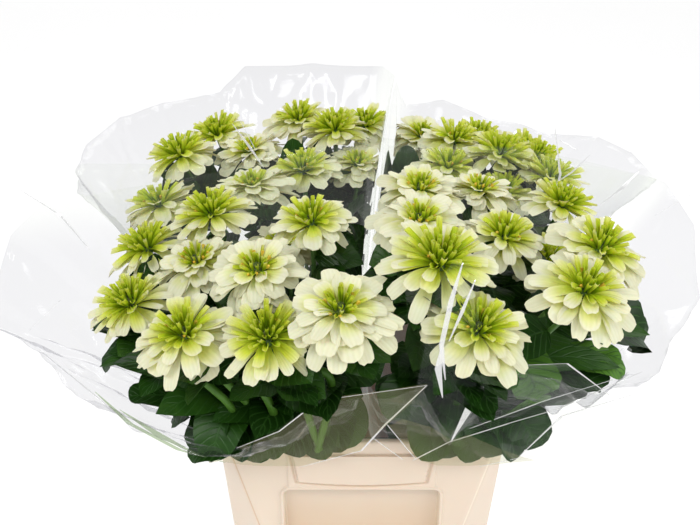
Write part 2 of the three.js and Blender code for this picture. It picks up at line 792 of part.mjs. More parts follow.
// A leaf that would touch a bloom or the film is shortened, and left out below half its length.
function makeLeaf(bunch, root, tip, width, stations) {
  for (let share = 1; share > SHORTEST_LEAF; share -= LEAF_SHORTENING) {
    const nearerTip = root.clone().lerp(tip, share);
    const points = leafPoints(root, nearerTip, width * Math.min(1, share + SLIMMING_LAG), stations);
    if (leafIsClear(bunch, points)) {
      return toSolid(indexedGeometry(points, leafFaces(stations)));
    }
  }
  return null;
}

function makeFoliage(bunch) {
  const random = seededRandom(bunch.leafSeed);
  const draw = ([least, spread]) => least + spread * random();
  const centre = bundleCentre(bunch);
  const curves = BLOOMS.filter((bloom) => bloom.bunch === bunch).map(stemCurve);
  const parts = [makeBundle(bunch), ...curves.map((curve) => makeStem(bunch, curve))];
  for (const [name, stem, rootHeight, x, y, z, width] of FRONT_LEAVES) {
    if (name === bunch.name) {
      const root = stemPointAtHeight(curves[stem], rootHeight);
      parts.push(makeLeaf(bunch, root, new THREE.Vector3(x, y, z), width, LARGE_LEAF));
    }
  }
  curves.forEach((curve, index) => {
    const rootHeight = draw(UPPER_LEAF.root) + (index % 3) * UPPER_LEAF.rootStep;
    const root = stemPointAtHeight(curve, rootHeight);
    const outward = Math.atan2(root.y - centre.y, root.x - centre.x) + draw(UPPER_LEAF.bearing);
    const length = draw(UPPER_LEAF.length);
    const reach = new THREE.Vector3(Math.cos(outward), Math.sin(outward), 0).multiplyScalar(length);
    const tip = root.clone().add(reach).addScaledVector(Z_AXIS, draw(UPPER_LEAF.rise));
    parts.push(makeLeaf(bunch, root, tip, draw(UPPER_LEAF.width), SMALL_LEAF));
  });
  const solids = parts.filter((part) => part !== null);
  const joined = solids.reduce((sum, part) => sum.add(part));
  return namedMesh(`foliage_${bunch.name}`, toGeometry(mainBody(joined)), "foliage");
}

// One petal's free points about the bloom's axis, in the bloom's own frame: its outline past the
// hub, and its crest and underside on the midline.
function petalPoints(ring, length, rise, bearing, pitch) {
  const at = (distance, aside, lift) => {
    const flat = distance * Math.cos(rise);
    return new THREE.Vector3(
      flat * Math.cos(bearing) - aside * Math.sin(bearing),
      flat * Math.sin(bearing) + aside * Math.cos(bearing),
      distance * Math.sin(rise) + lift,
    );
  };
  const shoulder = SHOULDER_AT * length;
  const room = (distance) => Math.tan(pitch / 2) * distance;
  const outlines = {
    quill: () => [at(length, 0, 0)],
    wedge: () => {
      const half = room(length) * ring.width;
      return [at(length, -half, 0), at(length, half, 0)];
    },
    strap: () => {
      const half = room(shoulder) * ring.width;
      return [
        at(shoulder, -half, 0), at(length, -half * ring.tip, 0),
        at(length, half * ring.tip, 0), at(shoulder, half, 0),
      ];
    },
  };
  return {
    outline: outlines[ring.shape](),
    crest: at(shoulder * CREST_AT, 0, PETAL_THICKNESS * CREST_LIFT),
    belly: at(shoulder * CREST_AT, 0, PETAL_THICKNESS * BELLY_LIFT),
  };
}

// The whole bloom is one closed skin. It starts at the flat underside of the calyx, runs out and
// back over each ring of petals in turn, and closes in a low disc. Petals of a ring stand half a
// pitch from those of the ring below, and one that would cross a neighbour's room is shorter.
function makeBloom(bloom) {
  const { count, rings, colour } = bloom.form;
  const random = seededRandom(BLOOM_SEED + BLOOMS.indexOf(bloom));
  const turnToAxis = new THREE.Quaternion().setFromUnitVectors(Z_AXIS, bloom.axis);
  const place = (point) => point.clone().applyQuaternion(turnToAxis).add(bloom.centre);
  const pitch = (2 * Math.PI) / count;
  const start = random() * pitch;
  const points = [];
  const faces = [];
  const add = (point) => points.push(point) - 1;
  const hub = HUB_RADII.slice(0, rings.length + 1).map((radius, level) =>
    Array.from({ length: count }, (_, i) => {
      const turn = start + (i - 0.5) * pitch;
      const flat = new THREE.Vector3(Math.cos(turn), Math.sin(turn), 0).multiplyScalar(radius);
      return add(place(flat.addScaledVector(Z_AXIS, HUB_HEIGHTS[level])));
    }));
  rings.forEach((ring, level) => {
    for (let i = 0; i < count; i += 1) {
      const bearing = start + (i + (level % 2) * 0.5) * pitch;
      const rise = radians(ring.rise + (random() - 0.5) * 2 * RISE_JITTER);
      let length = bloom.radius * ring.reach * (1 - LENGTH_JITTER * random());
      let petal = petalPoints(ring, length, rise, bearing, pitch);
      const fits = () => [...petal.outline, petal.crest].every((point) => {
        const placed = place(point);
        return insideOwnRoom(bloom, placed) && clearOfFilm(bloom.bunch, placed, PETAL_CLEAR_OF_FILM);
      });
      while (!fits() && length * PETAL_SHORTENING > SHORTEST_PETAL) {
        length *= PETAL_SHORTENING;
        petal = petalPoints(ring, length, rise, bearing, pitch);
      }
      const next = (i + 1) % count;
      const [lowA, lowB] = [hub[level][i], hub[level][next]];
      const [highA, highB] = [hub[level + 1][i], hub[level + 1][next]];
      const outline = petal.outline.map((point) => add(place(point)));
      const crest = add(place(petal.crest));
      const belly = add(place(petal.belly));
      const over = [highA, lowA, ...outline, lowB, highB];
      const under = [lowA, ...outline, lowB];
      for (let k = 0; k < over.length - 1; k += 1) {
        faces.push([over[k], over[k + 1], crest]);
      }
      faces.push([highB, highA, crest]);
      for (let k = 0; k < under.length - 1; k += 1) {
        faces.push([under[k + 1], under[k], belly]);
      }
      faces.push([lowA, lowB, belly]);
    }
  });
  for (let i = 1; i < count - 1; i += 1) {
    faces.push([hub[0][0], hub[0][i + 1], hub[0][i]]);
  }
  const disc = add(place(new THREE.Vector3(0, 0, HUB_HEIGHTS[rings.length] + DISC_CROWN)));
  const rim = hub[rings.length];
  for (let i = 0; i < count; i += 1) {
    faces.push([rim[i], rim[(i + 1) % count], disc]);
  }
  return namedMesh(bloom.name, indexedGeometry(points, faces), colour);
}

const flowerBucket = new THREE.Group();
flowerBucket.add(makeBucket());
flowerBucket.add(makeWater());
for (const bunch of BUNCHES) {
  flowerBucket.add(makeFoliage(bunch));
  flowerBucket.add(makeBand(bunch));
  flowerBucket.add(makeSleeve(bunch));
}
for (const bloom of BLOOMS) {
  flowerBucket.add(makeBloom(bloom));
}

export default flowerBucket;
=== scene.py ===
"""A cream flower bucket with four film-sleeved bunches of lime and cream zinnias.

Shapes are worked out in millimetres in the row frame (+Z up, the front faces -Y) and turned
into metres when a mesh is made.
"""

import bpy
import numpy as np
from mathutils import Matrix


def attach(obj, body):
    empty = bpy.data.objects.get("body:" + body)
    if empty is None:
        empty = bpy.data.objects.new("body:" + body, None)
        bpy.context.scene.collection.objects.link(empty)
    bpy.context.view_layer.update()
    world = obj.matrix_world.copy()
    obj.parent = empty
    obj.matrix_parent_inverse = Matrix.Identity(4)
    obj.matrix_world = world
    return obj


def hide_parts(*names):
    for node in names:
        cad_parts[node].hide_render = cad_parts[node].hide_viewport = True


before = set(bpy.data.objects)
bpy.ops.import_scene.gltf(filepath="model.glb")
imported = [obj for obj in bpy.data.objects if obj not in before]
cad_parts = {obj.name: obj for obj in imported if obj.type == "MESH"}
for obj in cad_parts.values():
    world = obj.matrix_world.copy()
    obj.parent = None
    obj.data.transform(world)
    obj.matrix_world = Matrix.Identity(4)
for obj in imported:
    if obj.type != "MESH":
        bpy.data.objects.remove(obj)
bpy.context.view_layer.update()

BLOOM_SEED = 700
FOLIAGE_SEED = 40
FILM_SEED = 90
MM = 0.001
TURN = 2 * np.pi
GOLDEN_ANGLE = 2.39996
THIN_EDGE = np.radians(85)
BUCKET_EDGE = np.radians(50)

# Which of its materials a part of a bloom or of the foliage has
PETAL, DISC, FLORET, CALYX = range(4)
LEAF, STEM = range(2)

# Bucket
BUCKET_HEIGHT = 350
RIM_HALF_X = 148
RIM_HALF_Y = 190
RIM_BAND_HEIGHT = 16
RIM_BAND_OUT = 2.5
WALL = 3
FLOOR = 3
WALL_SLOPE = 0.025
CORNER_BEVEL_TOP = 13
CORNER_BEVEL_GROWTH = 0.24
CREASE_GROOVE = 0.9
CREASE_WIDTH = 1.2
CREASE_SOFTNESS = 1.6
# Half width of the painted line of light and shade along each front corner's crease
PAINTED_CREASE_HALF_WIDTH = 0.8
CORNER_IN = 4.0
CORNER_BACK = 5.0
SIDE_STEPS = 9
# Columns of the front's outline: the half width of the even ones and how many they are, the two
# half widths between which they are closest and how many they are, and how many lie outside
FRONT_EVEN = (90, 61)
FRONT_CLOSE = (59, 87, 33)
FRONT_OUTER = 45
RECESS_HALF_X = 80
RECESS_TOP = 289
RECESS_BOTTOM = 150
RECESS_DEPTH = 9
RECESS_CORNER = 7
BORDER = 4
BORDER_OUT = 2.6
PANEL_HALF_X = 75.5
PANEL_OUT = 1.6
GRIP_HALF_TOP = 70
GRIP_HALF_FOOT = 65
GRIP_TOP = 334
GRIP_FOOT = 301
GRIP_SAG = 4
GRIP_OUT = 5.0
GRIP_GROOVE = 3.5
GRIP_GROOVE_DEPTH = 2.2
# Heights of the outlines below the rim band, close together where the relief changes
HEIGHT_BANDS = [
    (12, 136, 14), (140, 164, 20), (170, 276, 18), (280, 306, 48),
    (307, BUCKET_HEIGHT - RIM_BAND_HEIGHT - 0.6, 22),
]
# The foot of the bucket: height and step inwards
BASE_PROFILE = [(0.0, 6.0), (0.0, 2.4), (0.7, 0.9), (2.0, 0.2), (4.0, 0.0)]
INNER_HEIGHT_STEP = 4
# The rim from its band's foot to its inner lip: height above the band's foot and step inwards
RIM_PROFILE = [
    (0.0, 3.4), (0.3, 1.4), (1.2, 0.5), (2.6, 0.1), (7.0, 0.0), (13.0, 0.0),
    (14.8, 0.6), (15.7, 1.6), (16.0, 3.0), (15.7, 6.2), (14.5, 7.6),
]

# Stem bundles, stems and calyxes
BUNDLE_CENTRE_X = 71.55
BUNDLE_CENTRE_Y = 92.5
BUNDLE_FOOT = 3.3
BUNDLE_LOBE = 13.2
BUNDLE_GROOVE = 12
BUNDLE_TOP = 230
STEM_RING_RADIUS = 9.2
STEM_RADIUS = 2.6
STEM_ROOT = 222
STEM_UPRIGHT = 145
STEM_LEAN = 100
STEM_STEPS = 22
TUBE_SIDES = 8
BUNDLE_ROWS = 8
LOBE_SIDES = 6
CALYX_DEPTH = 6
GAP = 0.3
BAND_LOW = 204
BAND_HEIGHT = 12
BAND_TURNS = 3
BAND_STEPS = 48

# Film sleeves
FILM = 0.35
FILM_PARTING = 1.5
SLEEVE_FOOT_HEIGHT = 150
SLEEVE_FOOT_RADIUS = 26
SLEEVE_NECK_HEIGHT = 352
SLEEVE_NECK_X = 71
SLEEVE_NECK_Y = 91.5
SLEEVE_NECK_SQUARENESS = 4
SLEEVE_FLARE_BOWL = 1.25
SLEEVE_FOOT_STEPS = 5
SLEEVE_FLARE_ROWS = 26
CHORD_PARTS = 10
PARTING_HEIGHT = 200
PARTING_X = (16, 0.08)
PARTING_Y = (2.5, 0.18)
# Distances from the next bunch between which the film turns from inner to outer wall, and between
# which its crumples grow to their full height
INNER_WALL = (10, 40)
CRUMPLE_START = (2, 26)
INNER_CRUMPLE = 0.105
# Crumples of the film: wavelength and height in millimetres, and slant
CRUMPLE_WAVES = [
    (120, 3.2, 0.15), (86, 2.4, -0.3), (60, 1.5, 0.5), (47, 1.1, -0.8), (33, 0.6, 1.4), (27, 0.5, -1.8),
]
# Wrinkles of a folded sheet: wavelength, where 1 is the way from corner to corner, and slant
FOLD_WAVES = [(1.3, 0.8), (0.9, -1.1), (0.6, 1.7)]
FOLD_STEPS = 10
FOLD_ROWS = 13
# Kinds of film: name, colour of what is seen through it, colour of its milky veil, which glows as painted
# light, and the shares of the veil, of the gloss and of what both gain at grazing view
FILM_KINDS = [
    ("clear_film", (0.922, 0.922, 0.93), (0.84, 0.85, 0.85), 0.009, 0.015, 1.0),
    ("folded_film", (0.94, 0.94, 0.90), (0.80, 0.76, 0.40), 0.034, 0.006, 0.3),
    # This kind paints bright white glints along creases of the film
    ("film_crease_glint", (0.95, 0.95, 0.95), (0.90, 0.90, 0.90), 0.40, 0.25, 1.0),
    # This kind paints dark green reflections of leaves in the film near the sleeve's lower edge
    ("film_edge", (0.80, 0.86, 0.74), (0.30, 0.38, 0.22), 0.16, 0.05, 1.0),
    ("tongue_film", (0.985, 0.99, 0.98), (0.80, 0.88, 0.86), 0.006, 0.004, 0.25),
]
CLEAR, FOLDED, CREASE_GLINT, LEAF_REFLECTION, TONGUE = range(5)

# The way blooms face: leaning out to the left and right, and to the front, the further they stand
# from the line y = DOME_CENTRE_Y
DOME_CENTRE_Y = 50
DOME_LEAN = 0.0013
BACK_LEAN = -0.0010

# Each bunch: the quarter it stands in, its blooms as (x, y, z, diameter, form), and the top edge
# of its sleeve on the outer and the inner sides.
BUNCHES = {
    "front_left": {
        "side": (-1, -1),
        "leaf_seed": 83,
        "blooms": [
            (-20, -265, 535, 95, "open"),
            (-95, -200, 542, 88, "open"),
            (-82, -262, 508, 80, "spiky"),
            (-157, -238, 498, 92, "mixed"),
            (-222, -165, 492, 80, "spiky"),
            (-220, -90, 518, 80, "spiky"),
            (-161, -134, 521, 82, "open"),
            (-154, -75, 550, 84, "spiky"),
            (-50, -120, 558, 84, "mixed"),
            (-82, -70, 513, 78, "open"),
        ],
        "film_edge": [
            (-285, -64, 600), (-360, -84, 530), (-388, -114, 448), (-326, -150, 428),
            (-270, -195, 406), (-215, -222, 388), (-165, -232, 370), (-115, -230, 362),
            (-70, -228, 380), (-35, -224, 412), (-2, -212, 418),
        ],
        "inner_x": [(-180, 425), (-145, 455), (-92, 530), (-50, 580)],
        "inner_y": [(-40, 602), (-110, 596), (-190, 592)],
        "inner_corner": (7, -13, 602),
    },
    "back_left": {
        "side": (-1, 1),
        "leaf_seed": 80,
        "blooms": [
            (-235, 48, 514, 82, "mixed"),
            (-224, 138, 547, 82, "spiky"),
            (-192, 240, 544, 78, "spiky"),
            (-141, 174, 540, 80, "open"),
            (-124, 34, 540, 84, "open"),
            (-81, 228, 568, 80, "mixed"),
            (-31, 180, 568, 80, "spiky"),
            (8, 228, 560, 78, "mixed"),
            (-69, 99, 540, 82, "mixed"),
            (-3, 133, 535, 80, "open"),
        ],
        "film_edge": [
            (36, 322, 620), (-60, 338, 620), (-160, 325, 620), (-196, 312, 586),
            (-262, 262, 584), (-308, 190, 582), (-328, 100, 572), (-322, 20, 556),
            (-290, -50, 560),
        ],
        "inner_x": [(60, 606), (130, 612), (200, 616), (262, 620)],
        "inner_y": [(-205, 572), (-120, 582), (-45, 596)],
        "inner_corner": (5, 14, 602),
    },
    "front_right": {
        "side": (1, -1),
        "leaf_seed": 80,
        "blooms": [
            (95, -270, 520, 92, "mixed"),
            (65, -234, 566, 98, "spiky"),
            (54, -140, 566, 90, "open"),
            (138, -128, 545, 84, "mixed"),
            (60, -67, 572, 84, "open"),
            (218, -175, 552, 94, "mixed"),
            (189, -240, 542, 90, "mixed"),
            (216, -30, 543, 82, "spiky"),
            (128, -20, 555, 78, "open"),
            (186, -102, 505, 80, "spiky"),
        ],
        "film_edge": [
            (12, -212, 416), (54, -222, 430), (84, -226, 374), (116, -228, 446),
            (180, -222, 446), (225, -208, 412), (290, -176, 424), (350, -100, 468),
            (366, -20, 516), (350, 42, 546),
        ],
        "inner_x": [(-50, 580), (-92, 530), (-145, 455), (-180, 425)],
        "inner_y": [(260, 566), (180, 586), (90, 596)],
        "inner_corner": (29, -8, 602),
    },
    "back_right": {
        "side": (1, 1),
        "leaf_seed": 80,
        "blooms": [
            (84, 228, 545, 80, "open"),
            (122, 175, 555, 78, "mixed"),
            (165, 262, 530, 80, "spiky"),
            (173, 122, 552, 86, "spiky"),
            (107, 100, 542, 80, "mixed"),
            (227, 170, 531, 80, "spiky"),
            (172, 76, 519, 80, "mixed"),
            (230, 95, 531, 80, "spiky"),
            (228, 250, 518, 78, "mixed"),
            (114, 278, 510, 76, "mixed"),
        ],
        "film_edge": [
            (352, 72, 538), (340, 145, 550), (322, 225, 545), (275, 300, 530),
            (190, 330, 545), (122, 336, 569), (68, 322, 566),
        ],
        "inner_x": [(262, 612), (200, 614), (130, 612), (60, 606)],
        "inner_y": [(80, 592), (170, 584), (260, 562)],
        "inner_corner": (24, 24, 602),
    },
}

# Rings of petals from the outside in: (count, length, rise, curl, width, roll at root, roll at tip,
# green, root radius, root height). length and width are shares of the bloom's radius (width is
# half the petal's), rise and curl are degrees at the root and from root to tip, roll is half the
# arc of the section in degrees, green runs from cream to lime, and roots are in millimetres.
PETAL_RINGS = {
    "open": [
        (14, 0.98, 6, -36, 0.198, 38, 12, 0.00, 7.0, -3.0),
        (13, 0.88, 14, -36, 0.190, 40, 14, 0.03, 6.8, -1.0),
        (12, 0.74, 23, -32, 0.172, 42, 16, 0.08, 6.4, 1.0),
        (8, 0.58, 35, -26, 0.150, 50, 22, 0.16, 6.2, 3.0),
        (11, 0.36, 50, -8, 0.075, 150, 120, 0.66, 7.6, 3.0),
        (8, 0.28, 68, -2, 0.075, 155, 130, 0.82, 5.6, 4.5),
    ],
    "mixed": [
        (13, 0.98, 4, -34, 0.186, 40, 14, 0.06, 7.0, -3.0),
        (12, 0.87, 13, -32, 0.170, 44, 18, 0.14, 6.6, -1.0),
        (10, 0.74, 25, -26, 0.150, 60, 24, 0.28, 6.4, 1.0),
        (11, 0.57, 40, -12, 0.095, 135, 85, 0.62, 8.0, 1.5),
        (10, 0.47, 57, -6, 0.082, 150, 115, 0.76, 7.0, 3.0),
        (7, 0.38, 74, -2, 0.078, 155, 125, 0.88, 5.0, 4.5),
    ],
    "spiky": [
        (12, 0.98, 3, -32, 0.158, 50, 18, 0.14, 7.0, -3.0),
        (11, 0.88, 13, -28, 0.142, 58, 24, 0.26, 6.8, -1.0),
        (10, 0.74, 25, -18, 0.120, 95, 40, 0.46, 8.0, 0.0),
        (12, 0.62, 40, -9, 0.088, 145, 105, 0.66, 8.6, 1.5),
        (11, 0.52, 55, -6, 0.084, 152, 115, 0.76, 7.8, 3.0),
        (10, 0.43, 69, -3, 0.080, 155, 120, 0.84, 6.4, 4.5),
        (6, 0.35, 83, 0, 0.076, 155, 125, 0.94, 4.6, 6.0),
    ],
}
PETAL_STEPS = 5
PETAL_STRIPS = (6, 4)
QUILL_ROLL = 90
PETAL_REACH = {"front": 1.1, "back": 1.27}
PETAL_THICKNESS = 0.5
# How far a petal may stray: in shares of its step round the ring, its length and its width, in
# degrees of rise and curl, and in radians of twist
PETAL_JITTER = {"bearing": 0.3, "length": 0.2, "width": 0.18, "rise": 12, "curl": 20, "twist": 0.4}
NEIGHBOUR_REACH = 1.2
# How far petals may reach past the plane between two blooms, and over what distance they are eased
# back before that
ROOM_OVERLAP = 7.0
ROOM_SOFTNESS = 5.0
# How far petals and leaves stay off the film, and over what distance they are eased back before that
FILM_KEEP_OFF = 3.0
LEAF_KEEP_OFF = 4.0
FILM_SOFTNESS = 6.0
# How fast the room in a sleeve widens above the film's top edge
OPENING_PAST_EDGE = 3
# A bloom's middle: by form, the disc's radius and the number of star florets round it
DISC_RADIUS = {"open": 6.0, "mixed": 4.6, "spiky": 4.6}
STAR_COUNT = {"open": 8, "mixed": 3, "spiky": 1}
DISC_TOP = 9.0
DISC_CROWN = 5
DISC_DEPTH = 9
DISC_ROWS = 6
DISC_SIDES = 14
DISC_TIP = 0.35
KNOBS = 34
KNOB_SIZE = 0.75
# Star florets: distance from the middle, height, and reach of their points and of their notches
FLORET_RING = (11.5, 16.5)
FLORET_HEIGHT = (10.0, 14.0)
FLORET_REACH = (1.9, 0.7)
FLORET_STALK = 7.0
CALYX_RADIUS = 9.0
CALYX_SIDES = 14

# Leaves at the front, as in the solids: (bunch, stem, root height, tip x, y, z, width)
FRONT_LEAVES = [
    ("front_left", 4, 430, -268, -150, 462, 34),
    ("front_left", 3, 425, -240, -186, 444, 36),
    ("front_left", 3, 392, -196, -216, 408, 46),
    ("front_left", 2, 386, -144, -214, 398, 42),
    ("front_left", 2, 400, -102, -216, 424, 34),
    ("front_left", 0, 402, -58, -214, 438, 34),
    ("front_right", 5, 436, 286, -150, 462, 48),
    ("front_right", 6, 430, 252, -176, 438, 32),
    ("front_right", 6, 396, 196, -210, 420, 42),
    ("front_right", 0, 398, 132, -212, 428, 38),
    ("front_right", 1, 404, 34, -206, 442, 32),
]
# Upper leaves, as in the solids: the least value and the spread of each measure that is drawn
UPPER_LEAF = {
    "root": (400, 38),
    "root_step": 12,
    "bearing": (-0.8, 1.6),
    "length": (62, 26),
    "rise": (8, 24),
    "width": (28, 10),
}
# Large leaves: (bunch, root, tip, width, tone from dark to light). Those whose tip is under
# OVER_RIM_HEIGHT hang over the bucket's rim and aren't held back by the film's wall.
LARGE_LEAVES = [
    ("front_left", (-217, -125, 436), (-272, -135, 456), 30, 0.1),
    ("front_left", (-215, -130, 430), (-261, -150, 412), 34, 0.1),
    ("front_left", (-154, -150, 378), (-233, -172, 401), 38, 0.2),
    ("front_left", (-151, -150, 371), (-202, -190, 367), 62, 0.1),
    ("front_left", (-125, -178, 389), (-143, -222, 354), 58, 0.35),
    ("front_left", (-89, -196, 359), (-166, -222, 355), 36, 0.1),
    ("front_left", (-99, -180, 398), (-77, -206, 350), 34, 0.25),
    ("front_left", (-104, -160, 374), (-122, -212, 345), 60, 0.1),
    ("front_left", (-64, -160, 380), (-92, -207, 344), 60, 0.3),
    ("front_left", (-50, -165, 381), (-43, -206, 346), 58, 0.2),
    ("front_left", (-28, -165, 386), (-14, -203, 352), 54, 0.45),
    ("front_left", (-14, -165, 392), (-2, -203, 372), 42, 0.2),
    ("front_left", (-24, -165, 423), (10, -185, 380), 56, 0.2),
    ("front_left", (-138, -160, 376), (-152, -212, 349), 62, 0.2),
    ("front_left", (-84, -160, 376), (-107, -208, 344), 62, 0.25),
    ("front_left", (-58, -165, 381), (-68, -204, 346), 62, 0.05),
    ("front_left", (-36, -165, 384), (-28, -203, 349), 60, 0.15),
    ("front_left", (-33, -110, 468), (6, -100, 509), 50, 0.1),
    ("front_left", (-33, -90, 505), (5, -70, 535), 50, 0.1),
    ("front_left", (-183, -120, 496), (-221, -120, 516), 44, 0.1),
    ("front_left", (-10, -140, 433), (27, -150, 395), 56, 0.05),
    ("back_left", (-84, -10, 510), (-135, -20, 549), 46, 0.0),
    ("back_left", (-35, 30, 490), (2, 40, 535), 50, 0.2),
    ("back_left", (-74, 120, 507), (-12, 110, 543), 46, 0.3),
    ("back_left", (-198, 110, 511), (-246, 120, 540), 44, 0.2),
    ("back_left", (-120, 160, 500), (-165, 130, 524), 50, 0.2),
    ("back_left", (-60, 150, 500), (-105, 120, 530), 50, 0.1),
    ("front_right", (72, -180, 416), (24, -208, 379), 50, 0.3),
    ("front_right", (67, -175, 407), (38, -206, 376), 48, 0.15),
    ("front_right", (79, -165, 381), (66, -206, 344), 60, 0.35),
    ("front_right", (101, -165, 383), (108, -207, 343), 62, 0.25),
    ("front_right", (119, -165, 383), (150, -208, 345), 62, 0.15),
    ("front_right", (145, -160, 380), (178, -212, 382), 62, 0.25),
    ("front_right", (33, -165, 416), (42, -190, 376), 56, 0.25),
    ("front_right", (90, -165, 381), (87, -204, 344), 62, 0.1),
    ("front_right", (110, -165, 383), (129, -205, 344), 62, 0.3),
    ("front_right", (134, -160, 380), (168, -209, 356), 60, 0.1),
    ("front_right", (137, -165, 441), (167, -216, 411), 64, 0.85),
    ("front_right", (141, -190, 370), (188, -216, 415), 36, 0.9),
    ("front_right", (175, -150, 430), (257, -172, 422), 36, 1.0),
    ("front_right", (160, -150, 407), (241, -180, 411), 62, 0.15),
    ("front_right", (139, -165, 383), (209, -198, 393), 62, 0.35),
    ("front_right", (120, -165, 374), (165, -206, 364), 64, 0.1),
    ("front_right", (79, -165, 383), (103, -206, 359), 64, 0.45),
    ("front_right", (161, -150, 403), (236, -178, 389), 56, 0.2),
    ("front_right", (139, -160, 398), (183, -205, 427), 60, 0.75),
    ("front_right", (184, -150, 430), (256, -165, 434), 34, 1.0),
    ("front_right", (138, -150, 430), (162, -190, 477), 34, 0.6),
    ("front_right", (214, -120, 445), (298, -130, 421), 64, 0.1),
    ("front_right", (204, -110, 463), (287, -120, 437), 56, 0.05),
    ("front_right", (79, -120, 485), (38, -110, 511), 48, 0.1),
    ("back_right", (130, 60, 516), (83, 80, 553), 46, 0.3),
    ("back_right", (150, 150, 500), (110, 130, 526), 50, 0.2),
]
# Leaves behind the back blooms, from left to right: (root x, tip x, tip height)
BACK_ROW = [
    (-220, -240, 530), (-188, -205, 542), (-151, -165, 552), (-115, -125, 560), (-78, -85, 562),
    (-46, -50, 560), (-16, -18, 550), (18, 20, 552), (55, 60, 560), (92, 100, 560),
    (133, 145, 552), (174, 190, 545), (211, 230, 530),
]
BACK_ROW_ROOT_Y = 135
BACK_ROW_TIP_Y = (165, 172)
BACK_ROW_RISE = 95
BACK_ROW_WIDTH = (54, 62)
BACK_ROW_TONE = (0.05, 0.3, 0.15)
for number, (root_x, tip_x, tip_height) in enumerate(BACK_ROW):
    LARGE_LEAVES.append((
        "back_left" if tip_x < 0 else "back_right",
        (root_x, BACK_ROW_ROOT_Y, tip_height - BACK_ROW_RISE),
        (tip_x, BACK_ROW_TIP_Y[number % 2], tip_height),
        BACK_ROW_WIDTH[number % 2],
        BACK_ROW_TONE[number % 3],
    ))
# Thick green side shoots, and a leaf rolled into a loop: (bunch, radius, path)
SHOOTS = [
    ("front_left", 3.9, [
        (-171, -212, 456), (-158, -214, 446), (-142, -212, 427), (-126, -204, 403), (-123, -190, 370),
    ]),
    ("front_left", 3.7, [(-144, -212, 455), (-133, -214, 441), (-121, -210, 423), (-112, -200, 404)]),
    ("front_left", 4.4, [(-102, -222, 446), (-93, -224, 432), (-86, -218, 411), (-82, -204, 381)]),
    ("front_left", 3.9, [
        (-42, -205, 353), (-52, -222, 404), (-57, -236, 442), (-50, -241, 463),
        (-35, -242, 465), (-27, -238, 448), (-33, -222, 406), (-44, -207, 353),
    ]),
    ("front_right", 4.0, [(103, -210, 470), (103, -210, 454), (95, -200, 417), (84, -192, 372)]),
]
SHOOT_CUTS = 3
SHOOT_LOOK = {"along": 0.5, "across": 0.6, "tint": 0.8}
# Random leaves on every stem: the range of their root height, length, rise and width. Those of the
# crown have their root height measured down from the bloom.
FILL_LEAVES = [
    ((335, 372), (60, 90), (-8, 24), (38, 52)),
    ((372, 412), (60, 92), (-4, 34), (38, 52)),
    ((412, 450), (56, 84), (0, 34), (34, 46)),
]
CROWN_LEAVES = [
    ((22, 34), (40, 56), (-4, 6), (40, 50)),
    ((34, 48), (44, 62), (-6, 8), (40, 50)),
    ((30, 50), (44, 66), (-8, 10), (30, 40)),
    ((40, 70), (50, 72), (-12, 14), (32, 42)),
    ((56, 90), (50, 76), (-4, 22), (32, 44)),
    ((60, 110), (54, 80), (-4, 26), (32, 44)),
]
LEAF_ARCH = 0.14
LEAF_ROLL = 0.75
LEAF_OVER = 0.86
LARGE_LEAF_GRID = (11, 6)
LEAF_GRID = (7, 4)
LEAF_THICKNESS = 0.8
# What is drawn for each leaf: droop of the tip as a share of its length, lean to either side in
# radians, rise of the blade's sides, waves of its edge, tint, and bearing about its stem
LEAF_DROOP = (0, 2)
LEAF_DROOP_SHARE = 0.06
LEAF_LEAN = (-0.3, 0.3)
LEAF_FOLD = (0.08, 0.34)
LEAF_WAVES = (1.0, 2.2)
LEAF_WAVE_HEIGHT = 0.07
LEAF_TINT = (0.0, 0.5)
LEAF_BEARING = (-1.7, 1.7)
CURVE_SAMPLES = 200
OVER_RIM_HEIGHT = 364

# Folded sheets of the front sleeves: lower edge, upper edge, kind, bulge and wrinkle height
FILM_FOLDS = {
    "front_left": [
        (
            [(-150, -208, 342), (-117, -206, 334), (-62, -207, 333), (-1, -210, 355), (21, -224, 395)],
            [(-151, -209, 344), (-79, -225, 388), (-40, -243, 434), (11, -247, 445), (56, -251, 455)],
            FOLDED, 4.0, 2.0,
        ),
    ],
    "front_right": [
        (
            [(23, -220, 392), (53, -207, 342), (74, -207, 334), (128, -206, 334), (170, -206, 340)],
            [(36, -237, 409), (62, -235, 399), (85, -223, 376), (85, -223, 376), (100, -231, 387)],
            FOLDED, 3.0, 2.0,
        ),
        (
            [(85, -223, 376), (128, -208, 337), (170, -206, 342), (219, -214, 379)],
            [(112, -256, 476), (150, -255, 477), (178, -251, 476), (224, -236, 435)],
            TONGUE, 5.0, 3.0,
        ),
        (
            [(40, -236, 396), (60, -240, 392), (80, -240, 392), (102, -236, 400)],
            [(54, -318, 585), (64, -321, 604), (76, -321, 604), (86, -318, 592)],
            TONGUE, 4.0, 2.0,
        ),
    ],
}
